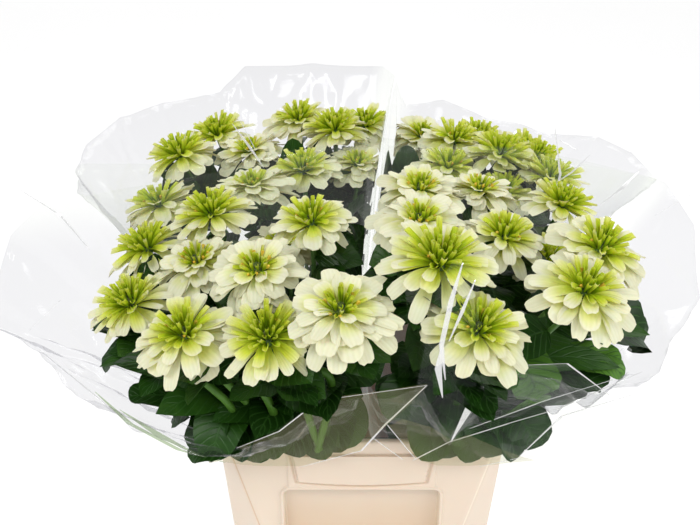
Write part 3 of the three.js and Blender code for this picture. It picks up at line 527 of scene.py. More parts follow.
# Ribbons of film along its creases and cut edges that carry painted light: bright painted glints, and dark
# green painted reflections of leaves near the sleeve's lower edge: path, width and kind
PAINTED_FILM_STREAKS = {
    "front_left": [
        # Dark green painted reflections of leaves along the sleeve's lower edge
        ([(-256, -200, 415), (-222, -215, 389), (-174, -228, 368), (-132, -226, 352)], 6.0, LEAF_REFLECTION),
        ([(-233, -205, 398), (-194, -215, 375), (-152, -222, 354)], 9.0, LEAF_REFLECTION),
        ([(-336, -100, 584), (-294, -120, 566), (-266, -130, 533)], 1.6, CREASE_GLINT),
        ([(-342, -120, 439), (-302, -130, 478)], 2.0, CREASE_GLINT),
        ([(-327, -140, 427), (-264, -190, 409), (-222, -215, 388)], 1.6, CREASE_GLINT),
        ([(-62, -208, 333), (-1, -211, 355), (21, -225, 395), (56, -252, 455)], 1.4, CREASE_GLINT),
        (
            [(-151, -210, 344), (-79, -226, 388), (-40, -244, 434), (11, -248, 445), (56, -252, 455)],
            0.8, CREASE_GLINT,
        ),
    ],
    "back_left": [
        ([(-146, 60, 608), (-126, 52, 582), (-111, 46, 560)], 3.0, CREASE_GLINT),
        ([(-137, 60, 612), (-120, 52, 579)], 1.6, CREASE_GLINT),
    ],
    "back_right": [
        ([(222, 60, 603), (226, 30, 557), (215, 10, 528)], 2.0, CREASE_GLINT),
        ([(229, 60, 589), (245, 40, 583)], 2.0, CREASE_GLINT),
        ([(248, 0, 589), (228, -10, 573), (210, -20, 565)], 2.2, CREASE_GLINT),
    ],
    "front_right": [
        ([(84, -224, 375), (97, -241, 425), (112, -257, 477)], 7.0, CREASE_GLINT),
        ([(23, -221, 392), (53, -208, 342)], 2.0, CREASE_GLINT),
        ([(11, -211, 369), (40, -208, 342)], 1.4, CREASE_GLINT),
        ([(85, -224, 376), (60, -215, 353), (50, -208, 341)], 1.4, CREASE_GLINT),
        ([(112, -257, 477), (178, -252, 477), (224, -237, 435)], 1.4, CREASE_GLINT),
        ([(72, -320, 604), (65, -320, 573), (60, -312, 529), (66, -300, 490)], 3.6, CREASE_GLINT),
        ([(61, -308, 528), (60, -298, 499), (66, -288, 465)], 5.0, CREASE_GLINT),
        ([(82, -321, 590), (74, -318, 562), (66, -311, 532)], 2.2, CREASE_GLINT),
        ([(85, -222, 374), (132, -235, 402), (184, -225, 413), (276, -170, 419)], 1.6, CREASE_GLINT),
        ([(100, -230, 394), (162, -235, 426), (241, -190, 422)], 1.0, CREASE_GLINT),
        ([(153, -215, 352), (186, -226, 405), (262, -190, 405)], 1.6, CREASE_GLINT),
        ([(116, -208, 334), (151, -216, 350)], 1.2, CREASE_GLINT),
        ([(305, 0, 572), (278, -30, 562), (251, -50, 550)], 5.0, CREASE_GLINT),
        ([(318, -30, 531), (352, -30, 554)], 3.0, CREASE_GLINT),
    ],
}

# Stage, light and camera, in metres. The lamps look at the heart of the display: name, place,
# size and power in watts. The camera's tilt is measured up from straight down.
STAGE_HALF = 6.0
STAGE_BEND_Y = 2.4
STAGE_BEND = 1.6
HEART = (0, -0.05, 0.45)
LAMPS = [
    ("key", (-1.3, -1.5, 2.3), (1.4, 1.0), 28),
    ("fill", (1.9, -1.2, 1.5), (1.2, 1.2), 18),
    ("back", (0.6, 1.7, 2.2), (1.8, 0.8), 14),
    ("glint", (0.35, -1.9, 1.9), (0.18, 0.9), 8),
]
SKY_STRENGTH = 0.5
CAMERA_PLACE = (-0.012, -0.915, 0.869)
CAMERA_TILT = np.radians(66)
CAMERA_LENS = 45
CAMERA_SENSOR = 36


# Arrays and meshes


def smoothstep(low, high, values):
    """0 below low, 1 above high, and the cubic 3u^2 - 2u^3 between."""
    u = np.clip((values - low) / (high - low), 0, 1)
    return u * u * (3 - 2 * u)


def unit(vectors):
    """Vectors along the last axis divided by their length."""
    return vectors / np.maximum(np.linalg.norm(vectors, axis=-1, keepdims=True), 1e-9)


def grid_quads(rows, columns, wrap=False):
    """Corner numbers of the quads of a rows by columns grid of points, closed round if wrap."""
    r = np.arange(rows - 1)[:, None]
    c = np.arange(columns if wrap else columns - 1)[None, :]
    a = r * columns + c
    b = r * columns + (c + 1) % columns
    return np.stack([a, b, b + columns, a + columns], axis=-1).reshape(-1, 4)


def closed_tube(rings, foot, top):
    """Points and polygons of a tube through rings of points (rows, sides, 3), with a fan of
    triangles from the first ring to the point foot, and from the last to the point top."""
    rows, sides = rings.shape[:2]
    points = np.concatenate([rings.reshape(-1, 3), [foot, top]])
    i = np.arange(sides)
    j = (i + 1) % sides
    last = (rows - 1) * sides
    return points, [
        grid_quads(rows, sides, wrap=True),
        np.stack([j, i, np.full(sides, rows * sides)], 1),
        np.stack([last + i, last + j, np.full(sides, rows * sides + 1)], 1),
    ]


class Shape:
    """Points, quads and triangles of one piece, gathered part by part with a material for each."""

    def __init__(self):
        self.points = []
        self.polygons = []
        self.finishes = []
        self.values = {}
        self.count = 0

    def add(self, points, polygons, finish=0, **values):
        """Adds points (n, 3) and lists of polygons (m, 3 or 4), with values at the points by name."""
        points = np.asarray(points, float).reshape(-1, 3)
        self.points.append(points)
        for part in polygons if isinstance(polygons, list) else [polygons]:
            self.polygons.append(part + self.count)
            self.finishes.append(np.full(len(part), finish))
        for name in set(self.values) | set(values):
            column = self.values.setdefault(name, [np.zeros(self.count)])
            column.append(np.broadcast_to(np.asarray(values.get(name, 0.0), float), len(points)))
        self.count += len(points)

    def make(self, name, materials, smooth=True):
        """Makes the mesh object, in metres, with the point values as attributes."""
        points = np.concatenate(self.points)
        loops = np.concatenate([part.ravel() for part in self.polygons])
        sizes = np.concatenate([np.full(len(part), part.shape[1]) for part in self.polygons])
        starts = np.concatenate([[0], np.cumsum(sizes)[:-1]])
        mesh = bpy.data.meshes.new(name)
        mesh.vertices.add(len(points))
        mesh.vertices.foreach_set("co", (points * MM).ravel())
        mesh.loops.add(len(loops))
        mesh.loops.foreach_set("vertex_index", loops)
        mesh.polygons.add(len(sizes))
        mesh.polygons.foreach_set("loop_start", starts)
        mesh.polygons.foreach_set("material_index", np.concatenate(self.finishes))
        mesh.polygons.foreach_set("use_smooth", np.full(len(sizes), smooth))
        mesh.update(calc_edges=True)
        for label, columns in self.values.items():
            values = np.concatenate(columns)
            if len(values) < len(points):
                values = np.concatenate([values, np.zeros(len(points) - len(values))])
            mesh.attributes.new(label, "FLOAT", "POINT").data.foreach_set("value", values)
        for material in materials:
            mesh.materials.append(material)
        piece = bpy.data.objects.new(name, mesh)
        bpy.context.scene.collection.objects.link(piece)
        return piece


def blade_polygons(blades, steps, strips):
    """Polygons of many closed blades, one blade after another.

    A blade has an upper skin of (steps + 1) by (strips + 1) points and a lower skin that shares
    its border with the upper one, so that only its inner points are new.
    """
    rows, columns = steps + 1, strips + 1
    upper = np.arange(rows * columns).reshape(rows, columns)
    lower = upper.copy()
    inner = (rows - 2) * (columns - 2)
    lower[1:-1, 1:-1] = rows * columns + np.arange(inner).reshape(rows - 2, columns - 2)
    corner = grid_quads(rows, columns)
    faces = np.concatenate([upper.ravel()[corner], lower.ravel()[corner][:, ::-1]])
    per_blade = rows * columns + inner
    offsets = np.arange(blades)[:, None, None] * per_blade
    return (faces[None] + offsets).reshape(-1, 4)


def blade_points(upper, lower):
    """All points of closed blades from their upper and lower skins (blades, rows, columns, 3)."""
    blades = upper.shape[0]
    inner = lower[:, 1:-1, 1:-1]
    depth = upper.shape[-1]
    return np.concatenate([upper.reshape(blades, -1, depth), inner.reshape(blades, -1, depth)], axis=1)


def tube(path, radii, side_hint=(1, 0, 0)):
    """A closed tube along a path (n, 3). A point of a ring is the path's point plus the radius
    times cosine and sine of the turn along two directions square to the path."""
    tangent = unit(np.gradient(path, axis=0))
    hint = np.asarray(side_hint, float)
    side = unit(hint - tangent * (tangent @ hint)[:, None])
    back = np.cross(tangent, side)
    turn = np.arange(TUBE_SIDES) / TUBE_SIDES * TURN
    radii = np.broadcast_to(radii, len(path))[:, None, None]
    ring = np.cos(turn)[None, :, None] * side[:, None] + np.sin(turn)[None, :, None] * back[:, None]
    return closed_tube(path[:, None] + radii * ring, path[0], path[-1])


def bezier(points, t):
    """Points of the Bezier curve of three or four control points at the shares t, by de Casteljau."""
    layer = [np.asarray(p, float)[None] + 0 * t[:, None] for p in points]
    while len(layer) > 1:
        layer = [a + (b - a) * t[:, None] for a, b in zip(layer, layer[1:])]
    return layer[0]


# The room of each bunch and of each bloom


def bunch_centre(bunch):
    """Where the bunch's tied stems stand."""
    side_x, side_y = bunch["side"]
    return np.array([side_x * BUNDLE_CENTRE_X, side_y * BUNDLE_CENTRE_Y])


def parting_x(y, z):
    """The surface x that parts the left bunches from the right ones, shifting and turning with height."""
    shift, turn = PARTING_X
    return (z - BUCKET_HEIGHT) / PARTING_HEIGHT * (shift + turn * y)


def parting_y(x, z):
    """The surface y that parts the front bunches from the back ones, in the same way."""
    shift, turn = PARTING_Y
    return (z - BUCKET_HEIGHT) / PARTING_HEIGHT * (shift + turn * x)


def sleeve_columns(bunch):
    """The sleeve's top edge as azimuth, reach and height about the bunch's axis, by azimuth."""
    side_x, side_y = bunch["side"]
    edge = list(bunch["film_edge"]) + [bunch["inner_corner"]]
    edge += [(parting_x(y, z) + side_x * FILM_PARTING, y, z) for y, z in bunch["inner_x"]]
    edge += [(x, parting_y(x, z) + side_y * FILM_PARTING, z) for x, z in bunch["inner_y"]]
    edge = np.array(edge, float)
    offset = edge[:, :2] - bunch_centre(bunch)
    azimuth = np.mod(np.arctan2(offset[:, 1], offset[:, 0]), TURN)
    order = np.argsort(azimuth)
    return azimuth[order], np.linalg.norm(offset, axis=1)[order], edge[order, 2]


def neck_reach(azimuth):
    """Reach of the square-shouldered oval |cos/a|^n + |sin/b|^n = reach^-n."""
    n = SLEEVE_NECK_SQUARENESS
    along_x = np.abs(np.cos(azimuth) / SLEEVE_NECK_X) ** n
    along_y = np.abs(np.sin(azimuth) / SLEEVE_NECK_Y) ** n
    return (along_x + along_y) ** (-1 / n)


def flare(azimuth, reach, height, t):
    """Reach and height of the film at share t of its flare: straight outwards, bowed upwards."""
    neck = neck_reach(azimuth)
    return (neck + (reach - neck) * t,
            SLEEVE_NECK_HEIGHT + (height - SLEEVE_NECK_HEIGHT) * t ** SLEEVE_FLARE_BOWL)


def sleeve_edge_table(bunch, share_steps=12):
    """The top edge finely sampled along its straight chords: azimuth, reach and height."""
    azimuth, reach, height = sleeve_columns(bunch)
    place = np.stack([reach * np.cos(azimuth), reach * np.sin(azimuth), height], 1)
    share = (np.arange(share_steps) / share_steps)[None, :, None]
    fine = (place[:, None] + (np.roll(place, -1, 0) - place)[:, None] * share).reshape(-1, 3)
    turned = np.mod(np.arctan2(fine[:, 1], fine[:, 0]), TURN)
    order = np.argsort(turned)
    return turned[order], np.hypot(fine[:, 0], fine[:, 1])[order], fine[order, 2]


EDGE_TABLES = {name: sleeve_edge_table(bunch) for name, bunch in BUNCHES.items()}


def soft_limit(excess, softness):
    """Maps excess over a limit to a value under 0: unchanged below -softness, then easing
    towards 0 as -softness times e to the minus (excess + softness) / softness."""
    eased = -softness * np.exp(-np.maximum(excess + softness, 0) / softness)
    return np.where(excess > -softness, eased, excess)


def keep_in_film(points, bunch_name, keep_off=FILM_KEEP_OFF):
    """Eases points back inside their sleeve, square to the bunch's upright axis."""
    bunch = BUNCHES[bunch_name]
    azimuths, reaches, heights = EDGE_TABLES[bunch_name]
    centre = bunch_centre(bunch)
    offset = points[..., :2] - centre
    azimuth = np.mod(np.arctan2(offset[..., 1], offset[..., 0]), TURN)
    reach = np.interp(azimuth, azimuths, reaches, period=TURN)
    height = np.interp(azimuth, azimuths, heights, period=TURN)
    z = points[..., 2]
    neck = neck_reach(azimuth)
    rise = np.clip((z - SLEEVE_NECK_HEIGHT) / (height - SLEEVE_NECK_HEIGHT), 0, 1)
    flared = neck + (reach - neck) * rise ** (1 / SLEEVE_FLARE_BOWL)
    below = np.clip((z - SLEEVE_FOOT_HEIGHT) / (SLEEVE_NECK_HEIGHT - SLEEVE_FOOT_HEIGHT), 0, 1)
    wall = np.where(z > SLEEVE_NECK_HEIGHT, flared,
                    SLEEVE_FOOT_RADIUS + (neck - SLEEVE_FOOT_RADIUS) * below)
    wall = wall + np.maximum(z - height, 0) * OPENING_PAST_EDGE
    distance = np.linalg.norm(offset, axis=-1)
    limit = wall - keep_off
    kept = limit + soft_limit(distance - limit, FILM_SOFTNESS)
    scale = kept / np.maximum(distance, 1e-6)
    moved = points.copy()
    moved[..., :2] = centre + offset * scale[..., None]
    return moved


def bloom_list():
    """Every bloom with its name, centre, radius, axis and form."""
    blooms = []
    for bunch_name, bunch in BUNCHES.items():
        for number, (x, y, z, diameter, form) in enumerate(bunch["blooms"], 1):
            past = y - DOME_CENTRE_Y
            lean = DOME_LEAN if past < 0 else BACK_LEAN
            blooms.append({
                "bunch": bunch_name,
                "name": f"bloom_{bunch_name}_{number:02d}",
                "centre": np.array([x, y, z], float),
                "radius": diameter / 2,
                "axis": unit(np.array([x * DOME_LEAN, past * lean, 1.0])),
                "form": form,
            })
    return blooms


BLOOMS = bloom_list()


def keep_in_room(points, bloom):
    """Eases points back behind the plane that parts a bloom from each neighbour, which stands
    between their centres in proportion to their radii."""
    for other in BLOOMS:
        away = other["centre"] - bloom["centre"]
        distance = np.linalg.norm(away)
        if other is bloom or distance > (bloom["radius"] + other["radius"]) * NEIGHBOUR_REACH:
            continue
        away = away / distance
        limit = distance * bloom["radius"] / (bloom["radius"] + other["radius"]) + ROOM_OVERLAP
        excess = (points - bloom["centre"]) @ away - limit
        points = points + (soft_limit(excess, ROOM_SOFTNESS) - excess)[..., None] * away
    return points


# Materials


class Finish:
    """A material in the making, with short calls for the nodes that its look is built from."""

    def __init__(self, name):
        self.material = bpy.data.materials.new(name)
        self.material.use_nodes = True
        self.nodes = self.material.node_tree.nodes
        self.links = self.material.node_tree.links
        self.nodes.clear()
        self.place = self.nodes.new("ShaderNodeTexCoord").outputs["Object"]

    def feed(self, socket, value):
        """Sets a socket to a number or a colour, or links another node's output to it."""
        if isinstance(value, (int, float)):
            socket.default_value = value
        elif isinstance(value, tuple):
            socket.default_value = (*value, 1)
        else:
            self.links.new(value, socket)

    def attribute(self, name):
        """The value of that name at the mesh's points."""
        node = self.nodes.new("ShaderNodeAttribute")
        node.attribute_name = name
        return node.outputs["Fac"]

    def math(self, operation, *values):
        """A Math node of that operation on numbers or other nodes' outputs."""
        node = self.nodes.new("ShaderNodeMath")
        node.operation = operation
        for socket, value in zip(node.inputs, values):
            self.feed(socket, value)
        return node.outputs[0]

    def ramp(self, factor, stops):
        """A colour ramp with stops (position, colour)."""
        node = self.nodes.new("ShaderNodeValToRGB")
        band = node.color_ramp
        while len(band.elements) < len(stops):
            band.elements.new(0.5)
        for element, (position, colour) in zip(band.elements, stops):
            element.position = position
            element.color = (*colour, 1)
        self.links.new(factor, node.inputs["Fac"])
        return node.outputs["Color"]

    def mix_colour(self, share, one, two, blend="MIX"):
        """Colour one at share 0, and blended with colour two at share 1."""
        node = self.nodes.new("ShaderNodeMix")
        node.data_type = "RGBA"
        node.blend_type = blend
        self.feed(node.inputs[0], share)
        self.feed(node.inputs[6], one)
        self.feed(node.inputs[7], two)
        return node.outputs[2]

    def noise(self, scale, detail=3.0):
        """Cloudy noise on the object's coordinates, with scale as patches to the metre."""
        node = self.nodes.new("ShaderNodeTexNoise")
        node.inputs["Scale"].default_value = scale
        node.inputs["Detail"].default_value = detail
        self.links.new(self.place, node.inputs["Vector"])
        return node.outputs["Fac"]

    def bump(self, height, distance, strength=1.0):
        """A normal that makes the height, times a distance in metres, look raised."""
        node = self.nodes.new("ShaderNodeBump")
        node.inputs["Distance"].default_value = distance
        node.inputs["Strength"].default_value = strength
        self.links.new(height, node.inputs["Height"])
        return node.outputs["Normal"]

    def shader(self, kind, **sockets):
        """A shader node of that kind, its sockets by name with underscores for spaces."""
        node = self.nodes.new(f"ShaderNode{kind}")
        for name, value in sockets.items():
            self.feed(node.inputs[name.replace("_", " ")], value)
        return node.outputs[0]

    def mix_shader(self, share, one, two):
        """Shader one at share 0, shader two at share 1."""
        node = self.nodes.new("ShaderNodeMixShader")
        self.feed(node.inputs["Fac"], share)
        self.links.new(one, node.inputs[1])
        self.links.new(two, node.inputs[2])
        return node.outputs[0]

    def surface(self, shader):
        """Gives the material its surface and returns it."""
        output = self.nodes.new("ShaderNodeOutputMaterial")
        self.links.new(shader, output.inputs["Surface"])
        return self.material

    def plain(self, colour, roughness, normal):
        """The finished material with one shader of that colour, roughness and normal."""
        return self.surface(self.shader(
            "BsdfPrincipled", Base_Color=colour, Roughness=roughness, Normal=normal))


def petal_material():
    """Cream to lime petals with pale tips, greener claws, fine long veins and a soft gloss."""
    look = Finish("petal")
    along = look.attribute("along")
    claw = look.math("POWER", look.math("SUBTRACT", 1.0, along), 1.6)
    green = look.math("MULTIPLY_ADD", claw, 0.42, look.attribute("green"))
    pale = look.math("MULTIPLY", look.math("POWER", along, 3.0), -0.36)
    patch = look.math("MULTIPLY_ADD", look.noise(60.0), 0.16, -0.08)
    shade = look.math("ADD", look.math("ADD", green, pale), patch)
    shade = look.math("MULTIPLY_ADD", look.attribute("tint"), 0.14, shade)
    colour = look.ramp(shade, [
        (0.0, (0.95, 0.93, 0.72)),
        (0.22, (0.90, 0.90, 0.42)),
        (0.50, (0.80, 0.85, 0.09)),
        (0.78, (0.64, 0.77, 0.025)),
        (1.0, (0.34, 0.51, 0.008)),
    ])
    wave = look.math("SINE", look.math("MULTIPLY", look.attribute("across"), 15.0))
    veins = look.math("MULTIPLY_ADD", wave, 0.5, 0.5)
    vein_share = look.math("MULTIPLY", veins, 0.10)
    colour = look.mix_colour(vein_share, colour, (0.62, 0.66, 0.30), "MULTIPLY")
    skin = look.shader(
        "BsdfPrincipled", Base_Color=colour, Roughness=0.52, Normal=look.bump(veins, 0.0004, 0.5),
        Subsurface_Weight=0.12, Subsurface_Scale=0.004, Specular_IOR_Level=0.3)
    glow = look.shader("BsdfTranslucent", Color=colour)
    return look.surface(look.mix_shader(0.3, skin, glow))


def disc_material():
    """The dark green and brown middle of a bloom."""
    look = Finish("bloom_disc")
    speckle = look.noise(420.0, 2.0)
    colour = look.ramp(speckle, [
        (0.3, (0.020, 0.045, 0.008)), (0.5, (0.07, 0.12, 0.015)), (0.7, (0.26, 0.30, 0.05))])
    return look.plain(colour, 0.6, look.bump(speckle, 0.0006))


def floret_material():
    """The small orange star florets that open round the disc."""
    look = Finish("star_floret")
    colour = look.ramp(look.noise(300.0, 2.0), [(0.3, (0.60, 0.34, 0.02)), (0.65, (0.80, 0.62, 0.07))])
    return look.surface(look.shader("BsdfPrincipled", Base_Color=colour, Roughness=0.55))


def calyx_material():
    """The scaly green cup under a bloom."""
    look = Finish("calyx")
    scales = look.noise(160.0)
    colour = look.ramp(scales, [(0.3, (0.035, 0.09, 0.015)), (0.7, (0.12, 0.21, 0.04))])
    return look.plain(colour, 0.6, look.bump(scales, 0.0008))


def leaf_material():
    """Dark leaves with a midrib, side veins that lean to the tip, and mottled fields between.

    A field's level is 1 and falls to 0 on the midrib and on the veins, which lie where
    8 along - 2.2 |across| is a whole number.
    """
    look = Finish("leaf")
    out = look.math("ABSOLUTE", look.attribute("across"))
    along = look.math("MULTIPLY", look.attribute("along"), 8.0)
    lines = look.math("SUBTRACT", along, look.math("MULTIPLY", out, 2.2))
    saw = look.math("MULTIPLY", look.math("PINGPONG", lines, 0.5), 7.0)
    side_vein = look.math("SMOOTH_MIN", saw, 1.0, 0.4)
    rib = look.math("SMOOTH_MIN", look.math("MULTIPLY", out, 14.0), 1.0, 0.4)
    field = look.math("MINIMUM", side_vein, rib)
    mottle = look.noise(55.0)
    tint = look.math("MULTIPLY", look.attribute("tint"), 0.75)
    green = look.ramp(look.math("MULTIPLY_ADD", mottle, 0.4, tint), [
        (0.15, (0.004, 0.022, 0.001)), (0.45, (0.014, 0.058, 0.004)),
        (0.70, (0.040, 0.115, 0.010)), (0.95, (0.100, 0.240, 0.030))])
    colour = look.mix_colour(field, (0.026, 0.085, 0.012), green)
    height = look.math("MULTIPLY_ADD", mottle, 0.25, field)
    return look.surface(look.shader(
        "BsdfPrincipled", Base_Color=colour, Roughness=0.40, Normal=look.bump(height, 0.0006, 0.5),
        Specular_IOR_Level=0.25))


def stem_material():
    """Fresh green stems with fine ridges."""
    look = Finish("stem")
    streak = look.noise(70.0)
    colour = look.ramp(streak, [(0.3, (0.045, 0.13, 0.022)), (0.7, (0.14, 0.27, 0.055))])
    return look.plain(colour, 0.42, look.bump(streak, 0.0006))


def film_material(name, clear_colour, veil_colour, veil_share, gloss_share, edge_share):
    """Clear film: see-through with a faint tint, a milky veil that glows, painted light standing in for the
    haze lit from all round, and a hard gloss.

    With f from 0 face on to 1 at grazing view, the share of the veil is veil_share +
    0.06 edge_share f^4 and that of the gloss is gloss_share + 0.22 edge_share f^4. Where the value
    inner is 1, between two bunches, the film is clearer and has 0.4 of that gloss.
    """
    look = Finish(name)
    normal = look.bump(look.noise(26.0, 4.0), 0.0016, 0.55)
    facing = look.nodes.new("ShaderNodeLayerWeight")
    facing.inputs["Blend"].default_value = 0.5
    look.links.new(normal, facing.inputs["Normal"])
    grazing = look.math("POWER", facing.outputs["Facing"], 4.0)
    inner = look.attribute("inner")
    outer = look.math("SUBTRACT", 1.0, look.math("MULTIPLY", inner, 0.6))
    clear = look.shader("BsdfTransparent", Color=look.mix_colour(inner, clear_colour, (0.985, 0.99, 0.98)))
    # Painted light: the veil is an emission that stands in for the haze lit from all round.
    veil = look.shader("Emission", Color=veil_colour)
    gloss = look.shader("BsdfAnisotropic", Color=(0.96, 0.96, 0.96), Roughness=0.09, Normal=normal)
    veil_part = look.math("MULTIPLY_ADD", grazing, 0.06 * edge_share, veil_share)
    gloss_part = look.math("MULTIPLY_ADD", grazing, 0.22 * edge_share, gloss_share)
    gloss_part = look.math("MULTIPLY", gloss_part, outer)
    return look.surface(look.mix_shader(gloss_part, look.mix_shader(veil_part, clear, veil), gloss))


def bucket_material():
    """Cream moulded plastic in cloudy patches, with painted shade that grows darker and warmer down the
    recess, finely pebbled, with a thin painted line of light and shade along the crease of each front corner:
    painted shade in tan on the left and a painted highlight in pale cream on the right.

    The crease lies at x = foot + slope z, as the wall's width less its bevel does.
    """
    look = Finish("bucket_plastic")
    cloud = look.noise(9.0)
    colour = look.ramp(cloud, [(0.3, (0.77, 0.63, 0.50)), (0.7, (0.81, 0.68, 0.55))])
    split = look.nodes.new("ShaderNodeSeparateXYZ")
    look.links.new(look.place, split.inputs[0])
    x, y, z = split.outputs
    aside = look.math("ABSOLUTE", x)
    front = look.math("LESS_THAN", y, 0.0)
    inside = look.math("LESS_THAN", aside, RECESS_HALF_X * MM)
    below = look.math("LESS_THAN", z, RECESS_TOP * MM)
    # Painted shade in the recess: darker and warmer the deeper below its top edge.
    recess = look.math("MULTIPLY", look.math("MULTIPLY", inside, below), front)
    depth = look.math("SUBTRACT", RECESS_TOP * MM, z)
    shadow = look.ramp(look.math("MULTIPLY", depth, 16.0), [
        (0.0, (0.92, 0.95, 0.97)), (0.5, (0.90, 0.86, 0.80)), (1.0, (0.88, 0.80, 0.70))])
    colour = look.mix_colour(recess, colour, shadow, "MULTIPLY")
    # A painted line along each front corner's crease: painted shade in tan on the left, a painted highlight
    # in pale cream on the right.
    slope = WALL_SLOPE + CORNER_BEVEL_GROWTH
    crease_top = RIM_HALF_X - RIM_BAND_OUT - CORNER_BEVEL_TOP
    crease_foot = (crease_top - slope * (BUCKET_HEIGHT - RIM_BAND_HEIGHT)) * MM
    crease = look.math("MULTIPLY_ADD", z, slope, crease_foot)
    away = look.math("ABSOLUTE", look.math("SUBTRACT", aside, crease))
    near = look.math("LESS_THAN", away, PAINTED_CREASE_HALF_WIDTH * MM)
    painted_crease_light = look.math("MULTIPLY", look.math("MULTIPLY", near, front), 0.7)
    left = look.math("LESS_THAN", x, 0.0)
    colour = look.mix_colour(painted_crease_light, colour, look.mix_colour(left, (0.95, 0.84, 0.68), (0.66, 0.43, 0.25)))
    return look.surface(look.shader(
        "BsdfPrincipled", Base_Color=colour, Roughness=look.math("MULTIPLY_ADD", cloud, 0.18, 0.32),
        Normal=look.bump(look.noise(900.0, 1.0), 0.00012, 0.6),
        Subsurface_Weight=0.08, Subsurface_Scale=0.006))


def water_material():
    """Clear water with a faint green tint and small ripples."""
    look = Finish("water")
    normal = look.bump(look.noise(30.0), 0.002, 0.4)
    edge = look.nodes.new("ShaderNodeFresnel")
    edge.inputs["IOR"].default_value = 1.33
    clear = look.shader("BsdfTransparent", Color=(0.80, 0.88, 0.84))
    skin = look.shader("BsdfPrincipled", Base_Color=(0.72, 0.80, 0.76), Roughness=0.04, Normal=normal)
    return look.surface(look.mix_shader(look.math("ADD", edge.outputs[0], 0.18), clear, skin))


def band_material():
    """Tan rubber, slightly powdery."""
    look = Finish("rubber_band")
    dust = look.noise(120.0)
    colour = look.ramp(dust, [(0.3, (0.38, 0.20, 0.09)), (0.7, (0.50, 0.30, 0.15))])
    return look.plain(colour, 0.7, look.bump(dust, 0.0003))


# Blooms


def axis_frame(axis):
    """Three directions as rows: two square to the axis, and the axis."""
    side = unit(np.cross((0.0, 1.0, 0.0), axis))
    return np.stack([side, np.cross(axis, side), axis])


def petal_ring(ring, level, radius, random):
    """One ring of petals in the bloom's own frame, with how many strips each has.

    The midline starts at the hub and climbs at angle rise + curl * s, so that its place is the
    integral of cosine and sine of that angle. The section at s is an arc of half angle roll and
    half width w: aside = w sin(roll t) / roll, lift = w (1 - cos(roll t)) / roll. Each strip's own
    length rounds the tip as a circle, 1 - tip (1 - sqrt(1 - t^2)), and notches it in the middle.
    """
    count, share, rise_angle, curl_angle, half_width, roll_root, roll_tip, green, root_r, root_z = ring
    quill = roll_root >= QUILL_ROLL
    strips = PETAL_STRIPS[1] if quill else PETAL_STRIPS[0]
    jitter = random.uniform(-1, 1, (count, 8))
    each = jitter[:, :, None, None]
    stray = PETAL_JITTER
    step = np.arange(count) + 0.5 * (level % 2) + stray["bearing"] * jitter[:, 0]
    bearing = step * TURN / count + 0.7 * level
    length = (share * radius * (1 - stray["length"] * np.abs(jitter[:, 1])))[:, None, None]
    rise = np.radians(rise_angle + stray["rise"] * each[:, 2])
    curl = np.radians(curl_angle + stray["curl"] * each[:, 3])
    half = half_width * radius * (1 + stray["width"] * each[:, 4])
    twist = stray["twist"] * each[:, 5]
    s = np.linspace(0, 1, PETAL_STEPS + 1)[None, :, None] ** 0.85
    t = np.sin(np.linspace(-1, 1, strips + 1) * np.pi / 2)[None, None, :]
    if quill:
        strip = 1 - 0.05 * t ** 2
        profile = 0.72 + 0.28 * smoothstep(0, 0.5, s) + 0 * t
        ripple = 0.0
    else:
        tip = np.minimum(0.85 * half / length, 0.24)
        notch = (0.03 + 0.03 * each[:, 6]) * np.exp(-(t / 0.3) ** 2)
        strip = 1 - tip * (1 - np.sqrt(1 - 0.98 * t ** 2)) - notch
        profile = (0.24 + 0.76 * smoothstep(0, 0.78, s)) * (1 - 0.1 * smoothstep(0.85, 1, s))
        ripple = 0.10 * half * np.cos(t * 5.5 + 6 * each[:, 7]) * s ** 2
    run = s * strip
    angle = rise + curl * run
    safe = np.where(np.abs(curl) < 0.02, 0.02, curl)
    out = root_r + length * (np.sin(rise + safe * run) - np.sin(rise)) / safe
    up = root_z + length * (np.cos(rise) - np.cos(rise + safe * run)) / safe
    width = half * profile
    roll = np.radians(roll_root + (roll_tip - roll_root) * smoothstep(0.25, 1, s))
    aside = width * np.sin(roll * t) / roll
    lift = width * (1 - np.cos(roll * t)) / roll + ripple
    turn = twist * s
    aside, lift = aside * np.cos(turn) - lift * np.sin(turn), aside * np.sin(turn) + lift * np.cos(turn)
    flat = np.stack([out - lift * np.sin(angle), aside, up + lift * np.cos(angle)], axis=-1)
    section = t if quill else 0 * t
    thick = PETAL_THICKNESS * (1 - np.abs(t) ** 3) * (1 - s ** 5) + 0 * flat[..., 0]
    inward = np.cos(roll * section)
    normal = np.stack([
        -np.sin(angle) * inward, -np.sin(roll * section) + 0 * angle, np.cos(angle) * inward], axis=-1)
    cosine, sine = np.cos(bearing)[:, None, None], np.sin(bearing)[:, None, None]

    def turned(points):
        x, y, z = points[..., 0], points[..., 1], points[..., 2]
        return np.stack([x * cosine - y * sine, x * sine + y * cosine, z], axis=-1)

    upper = turned(flat)
    lower = turned(flat - thick[..., None] * normal)
    ones = np.ones((count, PETAL_STEPS + 1, strips + 1))
    values = np.stack([
        ones * s, ones * t, ones * (green + 0.06 * each[:, 1]), ones * each[:, 4]], axis=-1)
    return blade_points(upper, lower), blade_points(values, values), strips


